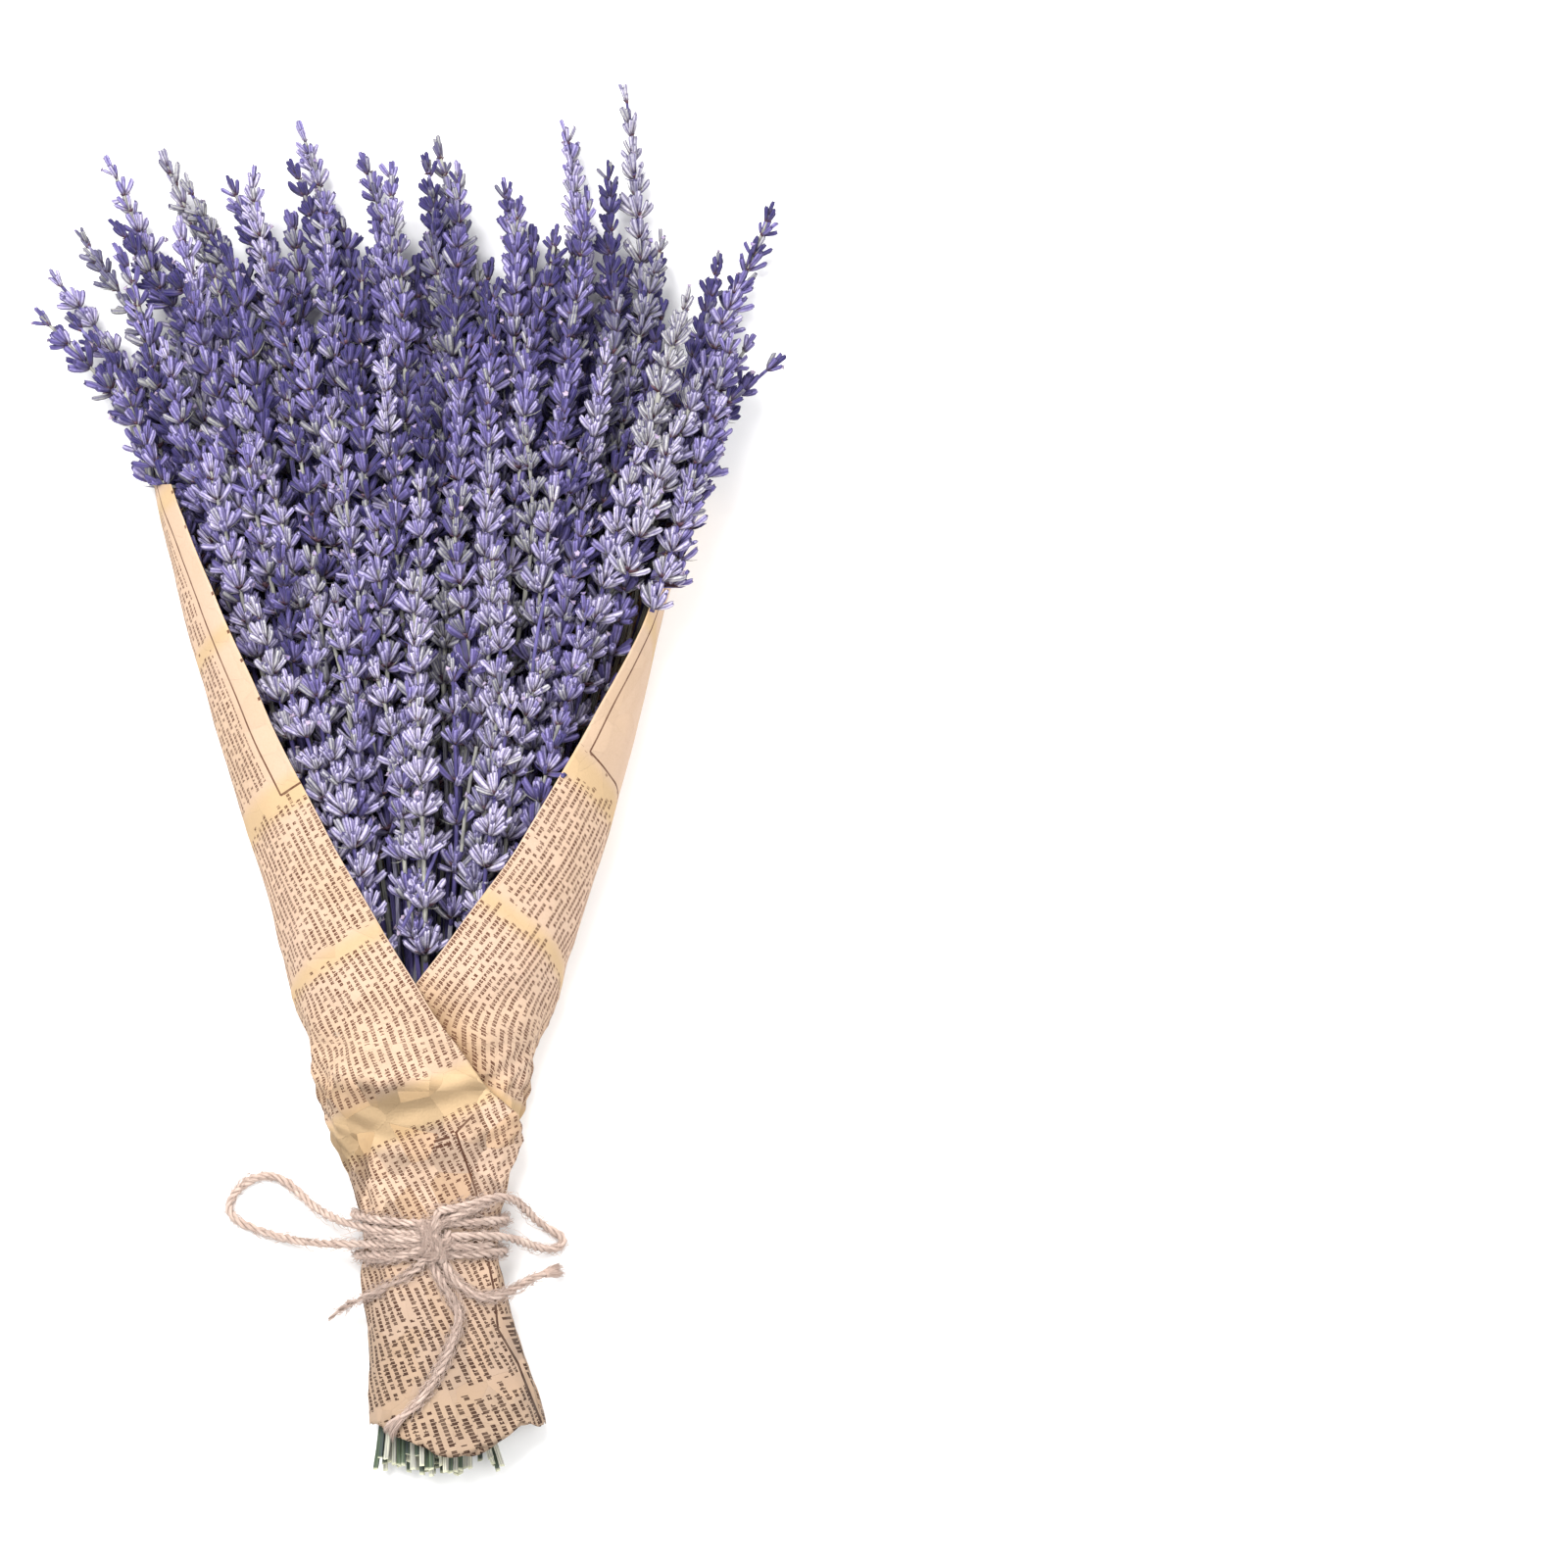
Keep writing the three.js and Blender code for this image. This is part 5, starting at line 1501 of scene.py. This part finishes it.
class LAVENDER_OT_stage(BunchOperator, bpy.types.Operator):
    """Adds the pale floor, the soft light and the camera that looks straight down."""
    bl_idname = "lavender.stage"
    bl_label = "Stage, light and camera"

    def make(self, scene):
        stage = scene.lavender_stage
        camera = bpy.data.cameras.new("camera")
        camera.sensor_width = SENSOR
        camera.lens = SENSOR * (stage.camera_height - FLOWER_LEVEL) / stage.view_width
        camera.clip_end = 20
        eye = bpy.data.objects.new("camera", camera)
        eye.location = (*EYE, stage.camera_height)
        scene.collection.objects.link(eye)
        scene.camera = eye

        floor = Gathering()
        side = np.linspace(-FLOOR_REACH, FLOOR_REACH, 3)
        x, y = np.meshgrid(side, side)
        grid = np.column_stack([x.ravel(), y.ravel(), np.full(9, -0.05)]) - TIE * (1, 1, 0)
        quads = [first + step for first in (0, 1, 3, 4) for step in (0, 1, 4, 3)]
        floor.add(Form(grid, quads, [4] * 4, np.zeros((16, 2))), grid, np.ones(4))
        ground = floor.piece("floor", [finish_of("floor", floor_finish, stage)], resting=False)

        world = bpy.data.worlds.new("soft_room")
        world.use_nodes = True
        back = world.node_tree.nodes["Background"]
        back.inputs["Color"].default_value = (1, 1, 1, 1)
        back.inputs["Strength"].default_value = ROOM_LIGHT
        scene.world = world
        for name, place, size, power in LIGHTS:
            light = bpy.data.lights.new(name, "AREA")
            light.size = size
            light.energy = power
            lamp = bpy.data.objects.new(name, light)
            lamp.location = place
            x, y, z = -np.array(place)
            lamp.rotation_euler = (math.atan2(math.hypot(x, y), -z), 0, math.atan2(y, x) - math.pi / 2)
            scene.collection.objects.link(lamp)
        scene.view_settings.view_transform = "Standard"


class LAVENDER_OT_cords(BunchOperator, bpy.types.Operator):
    """Adds the free twine: the two loops of the bow and its three tails."""
    bl_idname = "lavender.cords"
    bl_label = "Twine loops and tails"

    def make(self, scene):
        twine = scene.lavender_twine
        finish = finish_of("twine", twine_finish, twine)
        for n, (name, route) in enumerate(CORDS.items()):
            gathering = Gathering()
            rng = np.random.default_rng(70 + n)
            tail = "tail" in name
            left = name == "twine_tail_left"
            thin = (0.95, 0.5) if left else (1.0, 0.86) if tail else (1, 1)
            line = add_twine(gathering, through(route, 0.7), rng, twine, plies=2 if left else 3,
                             frayed=FRAYED.get(name, 0), fuzz=7.0 if tail else 3.5, thin=thin,
                             slack=1.9 if tail else 1.2)
            obj = placed_piece(gathering, name + "_twisted", [finish], "jute_twine", name)
            path = ((line[:-5] if tail else line) + TIE) * MM
            tuple(path[0])
            [tuple(p) for p in path]


class LAVENDER_OT_band(BunchOperator, bpy.types.Operator):
    """Adds the twine wound twice round the paper, and the knot."""
    bl_idname = "lavender.band"
    bl_label = "Twine band and knot"

    def make(self, scene):
        twine = scene.lavender_twine
        gathering = Gathering()
        rng = np.random.default_rng(90)
        for front, right, back, left in BAND_WRAPS:
            s = np.linspace(0, CORNERS, 150, endpoint=False)
            angle = np.pi / 2 - s / CORNERS * 2 * np.pi
            vertical = np.where((angle > 0) | (angle < -np.pi), front, back)
            sideways = np.where(np.cos(angle) > 0, right, left)
            y = vertical * np.sin(angle) ** 2 + sideways * np.cos(angle) ** 2
            levels = wrap_levels(y)
            middle, normal = section_points(levels, s), section_normals(levels, s)
            lift = FLAP_LIFT * smoothstep(middle[:, 1], levels[:, 2] + 2, levels[:, 2] + 8)
            at = middle + normal * (lift + GAP + TWINE / 2)[:, None]
            line = np.column_stack([at[:, 0], y, at[:, 1]])
            add_twine(gathering, line, rng, twine, closed=True, fuzz=5.0, slack=1.3)
        for turn in KNOT_TURNS:
            add_twine(gathering, through(turn, 0.7), rng, twine, fuzz=9.0, slack=1.2)
        for turn in FRONT_STRANDS:
            add_twine(gathering, through(turn, 0.7), rng, twine, fuzz=7.0, thin=(0.85, 1.0), slack=1.4)
        finish = finish_of("twine", twine_finish, twine)
        placed_piece(gathering, "twine_band_twisted", [finish], "jute_twine", "twine_band")


def print_coordinates(rows, drift, d, right):
    """Where print lies on a flap: millimetres across its lines and along them.

    drift is how far the points have moved off their rows, and d how far they are from the free edge."""
    lean = np.radians(34.5 if right else 28.0) * smoothstep(rows, 22, 52)
    lean = lean + np.radians(15) * smoothstep(-rows, 2, 16)
    run = np.cumsum(np.gradient(rows) * np.where(rows > 0, 1 / np.cos(lean), np.cos(lean)))
    run -= run[np.argmin(np.abs(rows))]
    onward, back, fan = np.zeros(len(rows)), 17 * smoothstep(rows, 22, 60), -1
    if not right:                          # its lines keep their lean below the opening
        lean = np.radians(np.interp(rows, [-16, -2, 20, 52], [13, 20, 24, 28]))
        onward, back = 0.44 * np.clip(66 - rows, 0, 66), np.zeros(len(rows))
        fan = np.interp(d, [-8, 34], [1.5, 0.5])
    u = (d + onward[:, None]) * np.cos(lean)[:, None]
    u = u - (np.minimum(0, rows + 6) * np.sin(lean))[:, None] * fan
    return u, run[:, None] + drift + d * np.sin(lean)[:, None] - back[:, None]


def sheet_faces(s, right, left):
    """The faces of the sheet's outer side, its inner side and its rim, with their print coordinates."""
    height, width = s.shape
    n, ids = s.size, np.arange(s.size).reshape(s.shape)
    quads, uv = [], []
    for r in range(height - 1):
        for c in range(width - 1):
            corners = [(r, c), (r, c + 1), (r + 1, c + 1), (r + 1, c)]
            (u, v), shift = (right, RIGHT_FLAP_U) if s[r, c] < 7.5 else (left, 0)
            quads += [ids[i] for i in corners] + [ids[i] + n for i in corners[::-1]]
            uv += [(u[i] + shift, v[i]) for i in corners + corners[::-1]]
    for path, flip in (([(0, c) for c in range(width)], False),
                       ([(height - 1, c) for c in range(width)], True),
                       ([(r, 0) for r in range(height)], True),
                       ([(r, width - 1) for r in range(height)], False)):
        for a, b in zip(path[:-1], path[1:]):
            corners = [ids[a], ids[b], ids[b] + n, ids[a] + n]
            quads += corners if flip else corners[::-1]
            uv += [RIM_PRINT] * 4
    return quads, uv


class LAVENDER_OT_paper(BunchOperator, bpy.types.Operator):
    """Adds the printed paper, gathered at the tie and open over the flowers."""
    bl_idname = "lavender.paper"
    bl_label = "Wrapping paper"

    def make(self, scene):
        paper = scene.lavender_paper
        thickness = paper.thickness / MM
        rows = np.r_[np.arange(-58, 60, 1.3), np.arange(60, 230.1, 4.2)]
        rows[-1] = 230
        levels = wrap_levels(rows)
        share = np.linspace(0, 1, 170)
        start, end = levels[:, 4:5], levels[:, 5:6]
        s = start + (end - start) * share[None]
        y = np.broadcast_to(rows[:, None], s.shape).copy()
        wide = np.broadcast_to(levels[:, None], s.shape + (6,))
        flat, normal = section_points(wide, s), section_normals(wide, s)
        # a crumple that both flaps share where they lie over each other
        stand = crumple(s, y)
        stand = np.maximum(stand, -0.7) * smoothstep(flat[..., 1], 0.4, 5)
        lift = FLAP_LIFT * smoothstep(s, 10.5, 13) + stand
        lapped = smoothstep(y, 14, 26) * (1 - smoothstep(y, 64, 90))
        lift = lift + 2.0 * smoothstep(s, end - 0.5, end) * lapped
        # beside: how near the right flap lies to the left flap's free edge; it dips the flap there and
        # weights the painted shade beside that edge
        beside = np.exp(-np.clip(s - (end - 15), 0, None) * 2.2) * (s < 5) * lapped      # beside that edge
        lift = lift - 0.7 * beside
        outer2 = flat + normal * lift[..., None]
        inner2 = outer2 - normal * thickness
        above = np.maximum(inner2[..., 1], outer2[..., 1] + thickness)
        inner2[..., 1] = np.where((s >= 5.5) & (s <= 9.5), above, inner2[..., 1])
        # the lower hem dips at the front, with small nicks; the upper one is nearly straight
        front = smoothstep(flat[..., 1], wide[..., 2] + 4, wide[..., 3] - 6)
        over = np.clip((flat[..., 0] - wide[..., 0]) / (wide[..., 1] - wide[..., 0]) * 1.15, 0, 1)
        dip = 9 * front * np.sin(np.pi * over ** 1.3) + 0.9 * np.sin(s * 3.1) * np.sin(s * 1.3 + 1)
        nick = 1.6 * np.clip(np.sin(s * 5.3 + 1.1) - 0.9, 0, 1) * 10
        hem = np.clip((-30 - y) / 28, 0, 1) ** 1.3
        y = y - (dip - nick * (hem > 0.93)) * hem
        outer = np.stack([outer2[..., 0], y, outer2[..., 1]], axis=-1)
        inner = np.stack([inner2[..., 0], y, inner2[..., 1]], axis=-1)
        outer[..., 2] = np.maximum(outer[..., 2], 0.02)
        inner[..., 2] = np.maximum(inner[..., 2], 0.02 + thickness * ((s >= 5) & (s <= 10)))

        steps = np.linalg.norm(np.diff(outer2, axis=1), axis=2)
        gone = np.concatenate([np.zeros((len(rows), 1)), np.cumsum(steps, axis=1)], axis=1)
        drift, flaps = y - rows[:, None], []
        for free_edge, way in ((np.maximum(levels[:, 4], -0.5), 1), (np.minimum(levels[:, 5], 15.25), -1)):
            edge = np.array([np.interp(e, s[i], gone[i]) for i, e in enumerate(free_edge)])
            flaps.append(print_coordinates(rows, drift, (gone - edge[:, None]) * way, way > 0))
        quads, uv = sheet_faces(s, *flaps)
        points = np.vstack([outer.reshape(-1, 3), inner.reshape(-1, 3)])
        tint = tint_rows(np.repeat([0.0, 1.0], s.size), np.tile(beside.ravel(), 2), 0.0)
        sheet = Gathering()
        sheet.add(Form(points, quads, [4] * (len(quads) // 4), uv), points, tint[None])
        finish = finish_of("paper", paper_finish, paper)
        obj = placed_piece(sheet, "wrapping_paper_sheet", [finish], "wrapping_paper", "paper_wrap",
                           resting=False)


class LAVENDER_OT_stems(BunchOperator, bpy.types.Operator):
    """Adds the stems, layer by layer: those of the frame and those that fill between them."""
    bl_idname = "lavender.stems"
    bl_label = "Stems"

    def make(self, scene):
        settings = scene.lavender_stems
        finish = finish_of("stem", stem_finish, settings)
        for k in range(len(LAYERS)):
            gathering = Gathering()
            rng = np.random.default_rng(300 + k)
            for a, b, bow, lot, dry in STRAYS if k == 5 else ():
                line = through([a, tuple((np.array(a) + b) / 2 + (bow, 0, 0.4)), b], 3.0)
                _, left, up = carried_frames(line)
                placed = tube_points(line, left, up, round_outline(8, 0.55))
                gathering.add(tube(len(line), 8), placed, np.array([lot, 0.7, dry, 1.0]))
            stems = layer_stems(k)
            stems += filling_stems(k) if k < 5 else []
            stems += back_stems() + side_stems() if k == 0 else []
            for stem in stems:
                cut, start = stem["cut"], stem["start"]
                y = np.r_[cut, np.arange(cut + 1.2, start - 3, 5.5), start + 0.2]
                line = stem_line(stem, y)
                _, left, up = stem_frames(stem, y)
                half = settings.width / MM / 2 * rng.uniform(0.88, 1.08)
                outline = round_outline(8, half * 1.08, np.pi / 4 + rng.uniform(-0.4, 0.4))
                outline = outline * np.tile([1.0, 0.78], 4)[:, None]      # a soft square
                taper = np.interp(y, [0, start], [1, 0.9])
                slant = rng.uniform(-0.5, 0.5, 2)
                placed = tube_points(line, left, up, outline[None] * taper[:, None, None])
                placed[:8, 1] += outline[:, 0] * slant[0] + outline[:, 1] * slant[1]
                share = np.repeat(np.clip((y - CUT_Y) / 260, 0.005, 1), 8)
                share[:8] = 0
                tint = tint_rows(rng.random(), share, rng.random())
                gathering.add(tube(len(y), 8), placed, tint)
            placed_piece(gathering, f"lavender_stems_{k + 1}", [finish], "stem",
                         f"stems_layer_{k + 1}", smooth=False)


class LAVENDER_OT_spikes(BunchOperator, bpy.types.Operator):
    """Adds the flowering spikes that the frame gives, each in its own place."""
    bl_idname = "lavender.spikes"
    bl_label = "Flowering spikes"

    def make(self, scene):
        for k in range(len(LAYERS)):
            for i, stem in enumerate(layer_stems(k)):
                gathering = Gathering()
                # lower layers get slightly darker tones: painted shade; the draw gives each spike its own
                # variety
                lot = 0.42 - 0.02 * k + 0.24 * draw(i + 3, k + 5)
                add_spike(gathering, stem, scene.lavender_flowers, scene.lavender_stems, lot)
                name = f"spike_{k + 1}_{i + 1:02d}"
                placed_piece(gathering, "lavender_" + name, flower_materials(scene), "lavender", name)


class LAVENDER_OT_filling(BunchOperator, bpy.types.Operator):
    """Adds the spikes that fill the bunch between those of the frame."""
    bl_idname = "lavender.filling"
    bl_label = "Filling spikes"

    def make(self, scene):
        # the spikes deep in the bunch get the darkest tones, the back spikes darkest of all: painted shade;
        # the spread around each tone is their own variety
        lots = [("back_spikes", back_stems(), 1.0)]
        for k in range(len(LAYERS) - 1):
            lots.append((f"filling_spikes_{k + 1}", filling_stems(k), 0.84 - 0.07 * k))
        lots += [("overhanging_spikes", overhanging_stems(), 0.45), ("crown_spikes", crown_stems(), 0.6)]
        for n, (name, stems, tone) in enumerate(lots):
            for half, some in enumerate((stems[::2], stems[1::2])):
                gathering = Gathering()
                for i, stem in enumerate(some):
                    lot = tone + 0.22 * draw(i + 13, n + 25 + half * 9)
                    add_spike(gathering, stem, scene.lavender_flowers, scene.lavender_stems, lot)
                placed_piece(gathering, f"{name}_{'ab'[half]}", flower_materials(scene), "lavender")


OPERATORS = [
    LAVENDER_OT_stage, LAVENDER_OT_cords, LAVENDER_OT_band, LAVENDER_OT_paper, LAVENDER_OT_stems,
    LAVENDER_OT_spikes, LAVENDER_OT_filling,
]


class LAVENDER_PT_bunch(bpy.types.Panel):
    """Lists the sizes, the colours and the pieces of the bunch."""
    bl_label = "Dried Lavender Bunch"
    bl_space_type = "VIEW_3D"
    bl_region_type = "UI"
    bl_category = "Lavender"

    def draw(self, context):
        for name, group in SETTINGS.items():
            box = self.layout.box()
            box.label(text=group.__doc__)
            settings = getattr(context.scene, name)
            for prop in group.__annotations__:
                box.prop(settings, prop)
        for operator in OPERATORS:
            self.layout.operator(operator.bl_idname)


CLASSES = [*SETTINGS.values(), *OPERATORS, LAVENDER_PT_bunch]


def register():
    for cls in CLASSES:
        bpy.utils.register_class(cls)
    for name, group in SETTINGS.items():
        setattr(bpy.types.Scene, name, PointerProperty(type=group))


def unregister():
    for name in SETTINGS:
        delattr(bpy.types.Scene, name)
    for cls in reversed(CLASSES):
        bpy.utils.unregister_class(cls)


def main():
    register()
    bpy.ops.lavender.stage()
    bpy.ops.lavender.cords()
    bpy.ops.lavender.band()
    bpy.ops.lavender.paper()
    bpy.ops.lavender.stems()
    bpy.ops.lavender.spikes()
    bpy.ops.lavender.filling()


if __name__ == "__main__":
    main()
